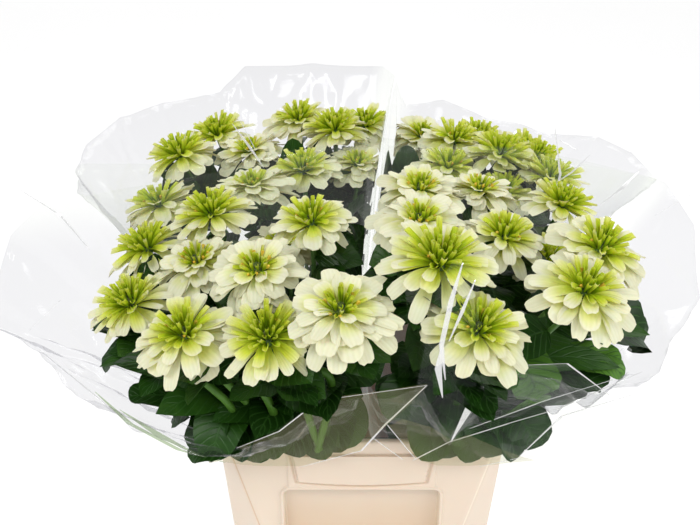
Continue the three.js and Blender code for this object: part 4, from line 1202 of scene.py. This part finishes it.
def add_disc(shape, place, radius):
    """The bloom's middle: a low dome, 5 (1 - u^2) mm high at share u of its radius, with knobs on
    a sunflower spiral: knob k is at radius sqrt((k + 0.5) / knobs) and at k golden angles."""
    u = np.linspace(0, 1, DISC_ROWS)[::-1][:, None]
    turn = np.arange(DISC_SIDES) / DISC_SIDES * TURN
    reach = np.maximum(radius * u, DISC_TIP)
    height = DISC_TOP - DISC_CROWN * u ** 2 + 0 * turn
    dome = np.stack([reach * np.cos(turn), reach * np.sin(turn), height], axis=-1)
    low = DISC_TOP - DISC_DEPTH
    foot = dome[:1] * (1, 1, 0) + (0, 0, low)
    points, polygons = closed_tube(np.concatenate([foot, dome]), (0, 0, low), (0, 0, DISC_TOP))
    shape.add(place(points), polygons, DISC)
    k = np.arange(KNOBS)
    r = radius * np.sqrt((k + 0.5) / KNOBS)
    turn = k * GOLDEN_ANGLE
    height = DISC_TOP - DISC_CROWN * (r / radius) ** 2
    centre = np.stack([r * np.cos(turn), r * np.sin(turn), height], 1)
    corner = np.array([[1, 0, 0], [0, 1, 0], [-1, 0, 0], [0, -1, 0], [0, 0, 2.2], [0, 0, -1.5]])
    i = np.arange(4)
    j = (i + 1) % 4
    faces = np.concatenate([np.stack([i, j, i * 0 + 4], 1), np.stack([j, i, i * 0 + 5], 1)])
    points = centre[:, None] + KNOB_SIZE * corner[None]
    shape.add(place(points.reshape(-1, 3)), (faces[None] + 6 * k[:, None, None]).reshape(-1, 3), DISC)


def add_florets(shape, place, count, random):
    """Small five-pointed stars on short stalks, spread round the disc among the inner petals."""
    turn = (np.arange(count) + random.uniform(-0.3, 0.3, count)) / count * TURN
    ring = random.uniform(*FLORET_RING, count)
    height = random.uniform(*FLORET_HEIGHT, count)
    point = np.arange(10) / 10 * TURN
    reach = np.tile(FLORET_REACH, 5)
    star = np.stack([reach * np.cos(point), reach * np.sin(point), 0 * reach], 1)
    star = np.concatenate([star, [[0, 0, -0.6]], [[0, 0, -FLORET_STALK]]])
    i = np.arange(10)
    j = (i + 1) % 10
    faces = np.concatenate([
        np.stack([i, j, np.full(10, 10)], 1), np.stack([j, i, np.full(10, 11)], 1)])
    for bearing, r, z in zip(turn, ring, height):
        tilt = np.array([np.cos(bearing), np.sin(bearing), 1.6])
        points = star @ axis_frame(unit(tilt)) + np.array([r * np.cos(bearing), r * np.sin(bearing), z])
        shape.add(place(points), faces, FLORET)


def add_calyx(shape, place):
    """The green cup: a turned profile of radius and height, from the stem's end to the petals."""
    profile = np.array([
        (0.0, -CALYX_DEPTH), (3.2, -CALYX_DEPTH), (6.4, -CALYX_DEPTH + 1.2),
        (CALYX_RADIUS - 0.6, -2.4), (CALYX_RADIUS, 0.4), (CALYX_RADIUS - 1.2, 2.0), (0.0, 3.0)])
    turn = np.arange(CALYX_SIDES) / CALYX_SIDES * TURN
    r = profile[1:-1, 0][:, None]
    z = profile[1:-1, 1][:, None] + 0 * turn
    rings = np.stack([r * np.cos(turn), r * np.sin(turn), z], axis=-1)
    points, polygons = closed_tube(rings, (0, 0, profile[0, 1]), (0, 0, profile[-1, 1]))
    shape.add(place(points), polygons, CALYX)


def make_bloom(bloom, number, materials):
    """One zinnia: calyx, rings of petals from the outside in, disc and star florets."""
    random = np.random.default_rng(BLOOM_SEED + number)
    rows = axis_frame(bloom["axis"])
    spin = random.uniform(0, TURN)
    c, s = np.cos(spin), np.sin(spin)
    rows = np.array([[c, s, 0], [-s, c, 0], [0, 0, 1]]) @ rows

    def place(points):
        return keep_in_film(keep_in_room(points @ rows + bloom["centre"], bloom), bloom["bunch"])

    shape = Shape()
    rings = PETAL_RINGS[bloom["form"]]
    spread = PETAL_REACH[bloom["bunch"].split("_")[0]]
    for level, ring in enumerate(rings):
        points, values, strips = petal_ring(ring, level, bloom["radius"] * spread, random)
        polygons = blade_polygons(ring[0], PETAL_STEPS, strips)
        flat = values.reshape(-1, values.shape[-1])
        shape.add(place(points.reshape(-1, 3)), polygons, PETAL, along=flat[:, 0],
                  across=flat[:, 1], green=flat[:, 2], tint=flat[:, 3])
    add_disc(shape, place, DISC_RADIUS[bloom["form"]])
    add_florets(shape, place, STAR_COUNT[bloom["form"]], random)
    add_calyx(shape, place)
    piece = shape.make(f"zinnia_{bloom['name'][6:]}", materials)
    piece.data.set_sharp_from_angle(angle=THIN_EDGE)
    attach(piece, "root")
    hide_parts(bloom["name"])
    return piece


# Stems and leaves


def seeded_draws(seed):
    """The same draws as the solids' leaves: a 32-bit mixing generator."""
    state = seed & 0xFFFFFFFF

    def multiply(a, b):
        return (a * b) & 0xFFFFFFFF

    while True:
        state = (state + 0x6D2B79F5) & 0xFFFFFFFF
        mixed = multiply(state ^ (state >> 15), state | 1)
        mixed ^= (mixed + multiply(mixed ^ (mixed >> 7), mixed | 61)) & 0xFFFFFFFF
        yield ((mixed ^ (mixed >> 14)) & 0xFFFFFFFF) / 4294967296


def stem_controls(bloom, bunch_blooms):
    """Control points of a stem's curve: upright at the bundle, along the bloom's axis at its top."""
    centre = bunch_centre(BUNCHES[bloom["bunch"]])

    def azimuth(other):
        offset = other["centre"][:2] - centre
        return np.mod(np.arctan2(offset[1], offset[0]), TURN)

    place = sum(azimuth(other) < azimuth(bloom) for other in bunch_blooms)
    turn = place / len(bunch_blooms) * TURN
    foot = np.array([*(centre + STEM_RING_RADIUS * np.array([np.cos(turn), np.sin(turn)])), STEM_ROOT])
    top = bloom["centre"] - bloom["axis"] * (CALYX_DEPTH + GAP)
    return foot, foot + (0, 0, STEM_UPRIGHT), top - bloom["axis"] * STEM_LEAN, top


def add_stem(shape, controls):
    """A stem along its curve, a quarter thicker just under the bloom."""
    share = np.linspace(0, 1, STEM_STEPS)
    radii = STEM_RADIUS * (1 + 0.25 * smoothstep(0.86, 1, share))
    shape.add(*tube(bezier(controls, share), radii), STEM)


def add_bundle(shape, centre, lobes):
    """Stems pressed together below the tie: radius = mean + swing * cosine(lobes * turn)."""
    turn = np.arange(lobes * LOBE_SIDES) / (lobes * LOBE_SIDES) * TURN
    radius = (BUNDLE_LOBE + BUNDLE_GROOVE) / 2 + (BUNDLE_LOBE - BUNDLE_GROOVE) / 2 * np.cos(lobes * turn)
    heights = np.linspace(BUNDLE_FOOT, BUNDLE_TOP, BUNDLE_ROWS)[:, None]
    rings = np.stack([
        centre[0] + radius * np.cos(turn) + 0 * heights,
        centre[1] + radius * np.sin(turn) + 0 * heights,
        heights + 0 * turn], axis=-1)
    shape.add(*closed_tube(rings, (*centre, BUNDLE_FOOT), (*centre, BUNDLE_TOP)), STEM)


def add_leaf(shape, bunch_name, root, tip, width, random, tone=None):
    """One leaf: an arched midrib and a blade folded along it, with waved edges.

    The midrib is a Bezier curve whose middle control lies at the share over of the way out and
    1 - over of the way up, raised by a share of the length. A small leaf's blade widens as sine of
    pi s^0.74 and ends in a point. A large leaf, one that has a tone, is nearly an ellipse.
    """
    large = tone is not None
    over = LEAF_OVER if large else 0.5
    steps, strips = LARGE_LEAF_GRID if large else LEAF_GRID
    length = np.linalg.norm(tip - root)
    middle = root + (tip - root) * (over, over, 1 - over) + (0, 0, length * LEAF_ARCH)
    s = np.linspace(0, 1, steps + 1)
    if large:
        s = (1 - np.cos(np.pi * s)) / 2
    t = np.linspace(-1, 1, strips + 1)
    droop = LEAF_DROOP_SHARE * length * random.uniform(*LEAF_DROOP)
    rib = bezier([root, middle, tip - (0, 0, droop)], s)
    tangent = unit(np.gradient(rib, s, axis=0))
    side = unit(np.cross(tangent, (0, 0, 1.0)))
    up = np.cross(side, tangent)
    outward = unit((root + tip) * (1, 1, 0))
    lean = (LEAF_ROLL * (side @ outward) + random.uniform(*LEAF_LEAN))[:, None]
    side, up = side * np.cos(lean) - up * np.sin(lean), up * np.cos(lean) + side * np.sin(lean)
    oval = 2 * np.sqrt(s * (1 - s))
    swell = oval ** 0.9 * (1.05 - 0.25 * s) if large else np.maximum(np.sin(np.pi * s ** 0.74), 0.0) ** 0.7
    half = width / 2 * swell + 0.35
    fold = random.uniform(*LEAF_FOLD)
    waves = random.uniform(*LEAF_WAVES)
    phase = random.uniform(0, TURN)
    aside = half[:, None] * t[None]
    wave = LEAF_WAVE_HEIGHT * width * np.sin(waves * TURN * s + phase)[:, None] * np.sign(t) * np.abs(t) ** 2
    lift = np.abs(aside) * fold + wave * np.sin(np.pi * s)[:, None]
    upper = rib[:, None] + aside[..., None] * side[:, None] + lift[..., None] * up[:, None]
    thick = LEAF_THICKNESS * (1 - np.abs(t) ** 4)[None] * np.sin(np.pi * s)[:, None] ** 0.4
    lower = upper - thick[..., None] * up[:, None]
    if tip[2] > OVER_RIM_HEIGHT or not large:
        upper = keep_in_film(upper, bunch_name, LEAF_KEEP_OFF)
        lower = keep_in_film(lower, bunch_name, LEAF_KEEP_OFF)
    points = blade_points(upper[None], lower[None]).reshape(-1, 3)
    ones = np.ones((steps + 1, strips + 1))
    values = np.stack([ones * s[:, None], ones * t[None]], axis=-1)[None]
    values = blade_points(values, values).reshape(-1, 2)
    shape.add(points, blade_polygons(1, steps, strips), LEAF, along=values[:, 0],
              across=values[:, 1], tint=tone if large else random.uniform(*LEAF_TINT))


def add_shoot(shape, path, radius):
    """A smooth tube along a path whose corners are cut three times over, so that each side keeps
    its part from a quarter to three quarters."""
    path = np.array(path, float)
    for _ in range(SHOOT_CUTS):
        cut = np.stack([0.75 * path[:-1] + 0.25 * path[1:], 0.25 * path[:-1] + 0.75 * path[1:]], 1)
        path = np.concatenate([path[:1], cut.reshape(-1, 3), path[-1:]])
    shape.add(*tube(path, radius, (0, 1, 0)), LEAF, **SHOOT_LOOK)


def point_at_height(controls, height):
    """The point of a stem's curve that is nearest to that height."""
    t = np.linspace(0, 1, CURVE_SAMPLES)
    path = bezier(controls, t)
    return path[np.argmin(np.abs(path[:, 2] - height))]


def make_foliage(bunch_name, materials):
    """All stems and leaves of one bunch, from the same rules as its solid, with more leaves."""
    bunch = BUNCHES[bunch_name]
    blooms = [bloom for bloom in BLOOMS if bloom["bunch"] == bunch_name]
    centre = bunch_centre(bunch)
    controls = [stem_controls(bloom, blooms) for bloom in blooms]
    random = np.random.default_rng(FOLIAGE_SEED + list(BUNCHES).index(bunch_name))
    shape = Shape()
    add_bundle(shape, centre, len(blooms))
    for control in controls:
        add_stem(shape, control)
    for name, stem, height, x, y, z, width in FRONT_LEAVES:
        if name == bunch_name:
            root = point_at_height(controls[stem], height)
            add_leaf(shape, bunch_name, root, np.array([x, y, z], float), width, random)
    draws = seeded_draws(bunch["leaf_seed"])

    def draw(key):
        least, spread = UPPER_LEAF[key]
        return least + spread * next(draws)

    for index, control in enumerate(controls):
        root = point_at_height(control, draw("root") + index % 3 * UPPER_LEAF["root_step"])
        outward = np.arctan2(root[1] - centre[1], root[0] - centre[0]) + draw("bearing")
        length = draw("length")
        tip = root + (length * np.cos(outward), length * np.sin(outward), draw("rise"))
        add_leaf(shape, bunch_name, root, tip, draw("width"), random)
    for name, root, tip, width, tone in LARGE_LEAVES:
        if name == bunch_name:
            root, tip = np.array(root, float), np.array(tip, float)
            add_leaf(shape, bunch_name, root, tip, width, random, tone)
    for name, radius, path in SHOOTS:
        if name == bunch_name:
            add_shoot(shape, path, radius)
    for control in controls:
        top = control[3][2]
        fills = [(heights, rest) for heights, *rest in FILL_LEAVES]
        fills += [((top - high, top - low), rest) for (low, high), *rest in CROWN_LEAVES]
        for heights, (lengths, rises, widths) in fills:
            root = point_at_height(control, random.uniform(*heights))
            outward = np.arctan2(root[1] - centre[1], root[0] - centre[0])
            outward += random.uniform(*LEAF_BEARING)
            length = random.uniform(*lengths)
            tip = root + (length * np.cos(outward), length * np.sin(outward), random.uniform(*rises))
            add_leaf(shape, bunch_name, root, tip, random.uniform(*widths), random)
    piece = shape.make(f"stems_and_leaves_{bunch_name}", materials)
    piece.data.set_sharp_from_angle(angle=THIN_EDGE)
    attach(piece, "root")
    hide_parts(f"foliage_{bunch_name}")
    return piece


def make_band(bunch_name, material):
    """A rubber band wound three times round the stems: rings of radius mean + 1.2 cos(section) at
    height middle + 1.3 sin(section) + 0.9 sin(2 turn), each a little further on than the last."""
    centre = bunch_centre(BUNCHES[bunch_name])
    shape = Shape()
    turn = (np.arange(BAND_STEPS) / BAND_STEPS * TURN)[:, None]
    section = (np.arange(TUBE_SIDES) / TUBE_SIDES * TURN)[None]
    radius = BUNDLE_LOBE + 1.9 + 1.2 * np.cos(section)
    quads = grid_quads(BAND_STEPS + 1, TUBE_SIDES, wrap=True) % (BAND_STEPS * TUBE_SIDES)
    for number in range(BAND_TURNS):
        middle = BAND_LOW + BAND_HEIGHT * (number + 0.6) / (BAND_TURNS + 0.2)
        height = middle + 1.3 * np.sin(section) + 0.9 * np.sin(turn * 2 + number * 2)
        rings = np.stack([
            centre[0] + radius * np.cos(turn), centre[1] + radius * np.sin(turn), height], axis=-1)
        shape.add(rings, quads)
    piece = shape.make(f"rubber_band_{bunch_name}", [material])
    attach(piece, "root")
    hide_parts(f"band_{bunch_name}")
    return piece


# Film sleeves


def crumple(around, up, random):
    """Sum of triangle waves in many directions, each |2 frac(x) - 1|: flat facets that meet in
    sharp creases, like stiff film. around and up are in millimetres."""
    total = np.zeros_like(around)
    for wavelength, height, steep in CRUMPLE_WAVES:
        x = (around + steep * up) / wavelength + random.uniform(0, 1)
        total += height * (np.abs(2 * (x - np.floor(x)) - 1) * 2 - 1)
    return total


def add_sheet(shape, low, high, kind, bulge=0.0, wrinkle=0.0):
    """A thin closed sheet between two edges given by corner points, divided along both ways.

    The point at shares u along and v across is low(u) (1 - v) + high(u) v, moved along the sheet's
    normal by bulge 4 v (1 - v) and by creases, triangle waves of height wrinkle.
    """
    low, high = np.array(low, float), np.array(high, float)
    columns, rows = FOLD_STEPS * (len(low) - 1) + 1, FOLD_ROWS
    u = np.linspace(0, len(low) - 1, columns)
    knots = np.arange(len(low))
    edges = [np.stack([np.interp(u, knots, edge[:, k]) for k in range(3)], 1) for edge in (low, high)]
    v = np.linspace(0, 1, rows)[:, None, None]
    sheet = edges[0] * (1 - v) + edges[1] * v
    normal = unit(np.cross(np.gradient(sheet, axis=1), np.gradient(sheet, axis=0)))
    crease = np.zeros((rows, columns))
    for number, (wavelength, steep) in enumerate(FOLD_WAVES):
        x = (u[None] + steep * v[..., 0]) / wavelength + 0.37 * number
        crease += (np.abs(2 * (x - np.floor(x)) - 1) - 0.5) * wrinkle / (number + 1)
    inside = 4 * v[..., 0] * (1 - v[..., 0])
    sheet = sheet + normal * (bulge * inside + crease * (0.3 + 0.7 * inside))[..., None]
    points = np.concatenate([sheet.reshape(-1, 3), (sheet - normal * FILM).reshape(-1, 3)])
    skin = rows * columns
    quads = grid_quads(rows, columns)
    border = np.concatenate([
        np.arange(columns), np.arange(1, rows) * columns + columns - 1,
        np.arange(columns - 2, -1, -1) + (rows - 1) * columns, np.arange(rows - 2, 0, -1) * columns])
    following = np.roll(border, -1)
    rim = np.stack([following, border, border + skin, following + skin], 1)
    shape.add(points, [quads, quads[:, ::-1] + skin, rim], kind)


def add_ribbon(shape, path, width, kind):
    """A narrow ribbon of film along a path, carrying a painted glint or a painted reflection, widest in its
    middle and 0.8 mm wide at its ends.
    """
    path = np.array(path, float)
    across = np.zeros_like(path)
    across[:, 0] = width / 2 * (1 - np.linspace(-1, 1, len(path)) ** 2) + 0.4
    add_sheet(shape, path - across, path + across, kind)


def make_sleeve(bunch_name, materials):
    """The film sleeve: the solid's own columns and flare, finely divided along straight chords,
    crumpled where it hangs free, and closed as a thin sheet with two skins."""
    bunch = BUNCHES[bunch_name]
    random = np.random.default_rng(FILM_SEED + list(BUNCHES).index(bunch_name))
    azimuth, reach, height = sleeve_columns(bunch)
    centre = bunch_centre(bunch)
    foot_steps = np.arange(-SLEEVE_FOOT_STEPS, 0) / SLEEVE_FOOT_STEPS
    t = np.concatenate([foot_steps, np.linspace(0, 1, SLEEVE_FLARE_ROWS)])[:, None]
    rise = np.maximum(t, 0)
    out, z = flare(azimuth, reach, height, rise)
    below = np.minimum(t, 0) + 1
    out = np.where(t < 0, SLEEVE_FOOT_RADIUS + (out - SLEEVE_FOOT_RADIUS) * below, out)
    z = np.where(t < 0, SLEEVE_FOOT_HEIGHT + (SLEEVE_NECK_HEIGHT - SLEEVE_FOOT_HEIGHT) * below, z)
    columns = np.stack([centre[0] + out * np.cos(azimuth), centre[1] + out * np.sin(azimuth), z], axis=-1)
    share = (np.arange(CHORD_PARTS) / CHORD_PARTS)[None, None, :, None]
    following = np.roll(columns, -1, axis=1)
    sheet = columns[:, :, None] + (following - columns)[:, :, None] * share
    rows = len(t)
    sheet = sheet.reshape(rows, -1, 3)
    count = sheet.shape[1]
    along = np.gradient(sheet, axis=0)
    round_way = (np.roll(sheet, -1, 1) - np.roll(sheet, 1, 1)) / 2
    normal = unit(np.cross(round_way, along))
    step = np.linalg.norm(round_way[-1], axis=-1)
    around = np.cumsum(step)[None] * np.linspace(0.55, 1, rows)[:, None]
    up = np.cumsum(np.linalg.norm(along, axis=-1), axis=0)
    from_x = np.abs(sheet[..., 0] - parting_x(sheet[..., 1], sheet[..., 2]))
    from_y = np.abs(sheet[..., 1] - parting_y(sheet[..., 0], sheet[..., 2]))
    from_next = np.minimum(from_x, from_y)
    grown = smoothstep(0.04, 0.4, t)
    free = smoothstep(*CRUMPLE_START, from_next) * grown
    height = crumple(around, up, random) * (free + INNER_CRUMPLE * grown * (1 - free))
    sheet = sheet + normal * height[..., None]
    inner = sheet - normal * FILM
    points = np.concatenate([sheet.reshape(-1, 3), inner.reshape(-1, 3)])
    skin = rows * count
    quads = grid_quads(rows, count, wrap=True)
    i = np.arange(count)
    j = (i + 1) % count
    top = (rows - 1) * count
    foot_rim = np.stack([j, i, skin + i, skin + j], 1)
    top_rim = np.stack([top + i, top + j, skin + top + j, skin + top + i], 1)
    shape = Shape()
    between = 1 - smoothstep(*INNER_WALL, from_next).ravel()
    shape.add(points, [quads, quads[:, ::-1] + skin, foot_rim, top_rim], CLEAR,
              inner=np.concatenate([between, between]))
    for low, high, kind, bulge, wrinkle in FILM_FOLDS.get(bunch_name, []):
        add_sheet(shape, low, high, kind, bulge, wrinkle)
    # Ribbons of painted glints and painted reflections of leaves
    for path, width, kind in PAINTED_FILM_STREAKS.get(bunch_name, []):
        add_ribbon(shape, path, width, kind)
    piece = shape.make(f"film_sleeve_{bunch_name}", materials)
    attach(piece, "root")
    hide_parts(f"sleeve_{bunch_name}")
    return piece


# Bucket


def bucket_half_sizes(z, inset):
    """Half width, half depth and corner bevel of the wall at height z, moved in by inset."""
    below = np.maximum(BUCKET_HEIGHT - RIM_BAND_HEIGHT - z, 0)
    half_x = RIM_HALF_X - RIM_BAND_OUT - below * WALL_SLOPE - inset
    half_y = RIM_HALF_Y - RIM_BAND_OUT - below * WALL_SLOPE - inset
    return half_x, half_y, CORNER_BEVEL_TOP + below * CORNER_BEVEL_GROWTH


def front_relief(x, z):
    """How far the front stands out of its flat wall: a panel under the rim, a grip plate on it
    whose lower edge sags in the middle by a parabola, a groove round the plate, a raised border
    and the deep recess inside it. Every edge is a smoothstep across the distance from it."""
    def past(value, soft):
        return smoothstep(-soft, soft, value)

    def rounded(half, low, high, radius, soft):
        middle, tall = (low + high) / 2, (high - low) / 2
        dx = np.maximum(np.abs(x) - (half - radius), 0)
        dz = np.maximum(np.abs(z - middle) - (tall - radius), 0)
        return 1 - past(np.hypot(dx, dz) - radius, soft)

    out = np.abs(x)
    upper = past(z - RECESS_TOP, 1.0) * (1 - past(z - BUCKET_HEIGHT, 1.0))
    panel = PANEL_OUT * (1 - past(out - PANEL_HALF_X, 1.0)) * upper
    foot = GRIP_FOOT - GRIP_SAG * (1 - (x / GRIP_HALF_FOOT) ** 2)
    side = GRIP_HALF_FOOT + (GRIP_HALF_TOP - GRIP_HALF_FOOT) * (z - GRIP_FOOT) / (GRIP_TOP - GRIP_FOOT)
    plate = GRIP_OUT * (1 - past(out - side, 0.7)) * past(z - foot, 0.7)
    groove = (1 - past(out - side - GRIP_GROOVE, 0.8)) * past(z - foot + GRIP_GROOVE, 0.8)
    border = BORDER_OUT * rounded(
        RECESS_HALF_X + BORDER, RECESS_BOTTOM - BORDER, RECESS_TOP + BORDER, RECESS_CORNER + BORDER, 1.0)
    recess = rounded(RECESS_HALF_X, RECESS_BOTTOM, RECESS_TOP, RECESS_CORNER, 1.2)
    under_rim = z < BUCKET_HEIGHT - RIM_BAND_HEIGHT
    raised = np.maximum(panel, border) + (plate - GRIP_GROOVE_DEPTH * groove) * under_rim
    return raised * (1 - recess) - RECESS_DEPTH * recess


def bucket_ring(half_x, half_y, bevel, z, relief=False):
    """One height's outline, anticlockwise from the front's left edge, with or without the relief.

    The front and back are heights over x: y = half_y, falling away at 45 degrees past the bevel's
    crease, with the crease rounded as softness * log(1 + e^(past / softness)). Short arcs round the
    corners to the straight sides. Columns lie close together where the grip and the recess end.
    """
    middle, count = FRONT_EVEN
    close = np.linspace(*FRONT_CLOSE)
    fixed = np.unique(np.concatenate([np.linspace(-middle, middle, count), close, -close]))
    edge = half_x - CORNER_IN
    right = middle + (edge - middle) * np.arange(1, FRONT_OUTER + 1) / FRONT_OUTER
    x = np.concatenate([-right[::-1], fixed, right])
    crease = half_x - bevel
    past = np.abs(x) - crease
    drop = CREASE_SOFTNESS * np.log1p(np.exp(np.clip(past / CREASE_SOFTNESS, -40, 40)))
    front_y = -half_y + drop + CREASE_GROOVE * np.exp(-(past / CREASE_WIDTH) ** 2)
    if relief:
        front_y = front_y - front_relief(x, z)
    front = np.stack([x, front_y], 1)
    back = np.stack([x, half_y - drop], 1)[::-1]
    t = np.array([0.25, 0.5, 0.75])[:, None]
    start = np.array([edge, -half_y + (edge - crease)])
    corner = np.array([half_x, -(half_y - bevel)])
    end = corner + (0, CORNER_BACK)
    arc = (1 - t) ** 2 * start + 2 * t * (1 - t) * corner + t ** 2 * end
    side = np.stack([np.full(SIDE_STEPS, half_x), np.linspace(end[1], -end[1], SIDE_STEPS)], 1)
    ring = np.concatenate([
        front, arc, side, arc[::-1] * (1, -1), back, -arc, side[::-1] * (-1, 1), arc[::-1] * (-1, 1)])
    return np.column_stack([ring, np.full(len(ring), z)])


def make_bucket(material):
    """The bucket: outlines at many heights, outside up over the rim band and down inside."""
    band_foot = BUCKET_HEIGHT - RIM_BAND_HEIGHT
    rings = []

    def wall(z, inset, relief=False):
        rings.append(bucket_ring(*bucket_half_sizes(z, inset), z, relief))

    for z, inset in BASE_PROFILE:
        wall(z, inset)
    heights = np.concatenate([np.linspace(*band) for band in HEIGHT_BANDS])
    for z in heights:
        wall(z, 0.0, True)
    for up, inset in RIM_PROFILE:
        rings.append(bucket_ring(
            RIM_HALF_X - inset, RIM_HALF_Y - inset, CORNER_BEVEL_TOP, band_foot + up))
    for z in heights[::-1][::INNER_HEIGHT_STEP]:
        wall(z, WALL, True)
    for z, inset in ((FLOOR + 3, WALL), (FLOOR + 0.8, WALL + 0.8), (FLOOR, WALL + 3)):
        wall(z, inset)
    shape = Shape()
    shape.add(*closed_tube(np.array(rings), (0, 0, 0), (0, 0, FLOOR)))
    piece = shape.make("flower_bucket", [material])
    piece.data.set_sharp_from_angle(angle=BUCKET_EDGE)
    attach(piece, "root")
    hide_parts("bucket")
    return piece


# Stage, light and camera


def make_stage():
    """A pale floor that curves up behind: height 0 to the bend, then a quarter circle, then up."""
    turn = np.linspace(0, np.pi / 2, 12)
    y = np.concatenate([[-STAGE_HALF], STAGE_BEND_Y + STAGE_BEND * np.sin(turn), [STAGE_BEND_Y + STAGE_BEND]])
    z = np.concatenate([[0], STAGE_BEND * (1 - np.cos(turn)), [STAGE_HALF]])
    x, y = np.meshgrid([-STAGE_HALF, STAGE_HALF], y)
    points = np.stack([x, y, np.repeat(z[:, None], 2, 1)], axis=-1) / MM
    look = Finish("pale_floor")
    colour = look.ramp(look.noise(1.5), [(0.3, (0.39, 0.39, 0.39)), (0.7, (0.40, 0.40, 0.40))])
    floor = look.surface(look.shader(
        "BsdfPrincipled", Base_Color=colour, Roughness=0.8,
        Emission_Color=(1, 1, 1), Emission_Strength=0.68))
    shape = Shape()
    shape.add(points, grid_quads(len(y), 2))
    stage = shape.make("floor", [floor])
    return stage


def add_lamp(name, place, size, power):
    """An area lamp that faces the heart of the display."""
    light = bpy.data.lights.new(name, "AREA")
    light.shape = "RECTANGLE"
    light.size, light.size_y = size
    light.energy = power
    back = unit(np.subtract(place, HEART))
    side = unit(np.cross((0, 0, 1.0), back))
    matrix = np.eye(4)
    matrix[:3] = np.column_stack([side, np.cross(back, side), back, place])
    lamp = bpy.data.objects.new(name, light)
    lamp.matrix_world = Matrix(matrix.tolist())
    bpy.context.scene.collection.objects.link(lamp)
    return lamp


def light_and_camera():
    """An even white sky, four soft lamps and the camera at the photo's angle."""
    scene = bpy.context.scene
    world = bpy.data.worlds.new("studio")
    world.use_nodes = True
    sky = world.node_tree.nodes["Background"]
    sky.inputs["Color"].default_value = (1, 1, 1, 1)
    sky.inputs["Strength"].default_value = SKY_STRENGTH
    scene.world = world
    for lamp in LAMPS:
        add_lamp(*lamp)
    camera = bpy.data.cameras.new("camera")
    camera.sensor_width = CAMERA_SENSOR
    camera.lens = CAMERA_LENS
    camera.clip_end = 50
    viewer = bpy.data.objects.new("camera", camera)
    viewer.location = CAMERA_PLACE
    viewer.rotation_euler = (CAMERA_TILT, 0, 0)
    scene.collection.objects.link(viewer)
    scene.camera = viewer
    scene.view_settings.view_transform = "Standard"
    scene.cycles.transparent_max_bounces = 24


make_stage()
light_and_camera()
bloom_materials = [petal_material(), disc_material(), floret_material(), calyx_material()]
foliage_materials = [leaf_material(), stem_material()]
films = [film_material(*kind) for kind in FILM_KINDS]
rubber = band_material()
make_bucket(bucket_material())
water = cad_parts["water"]
water.data.materials.clear()
water.data.materials.append(water_material())
for bloom_number, flower in enumerate(BLOOMS):
    make_bloom(flower, bloom_number, bloom_materials)
for bunch_key in BUNCHES:
    make_foliage(bunch_key, foliage_materials)
    make_band(bunch_key, rubber)
    make_sleeve(bunch_key, films)

bpy.context.view_layer.update()
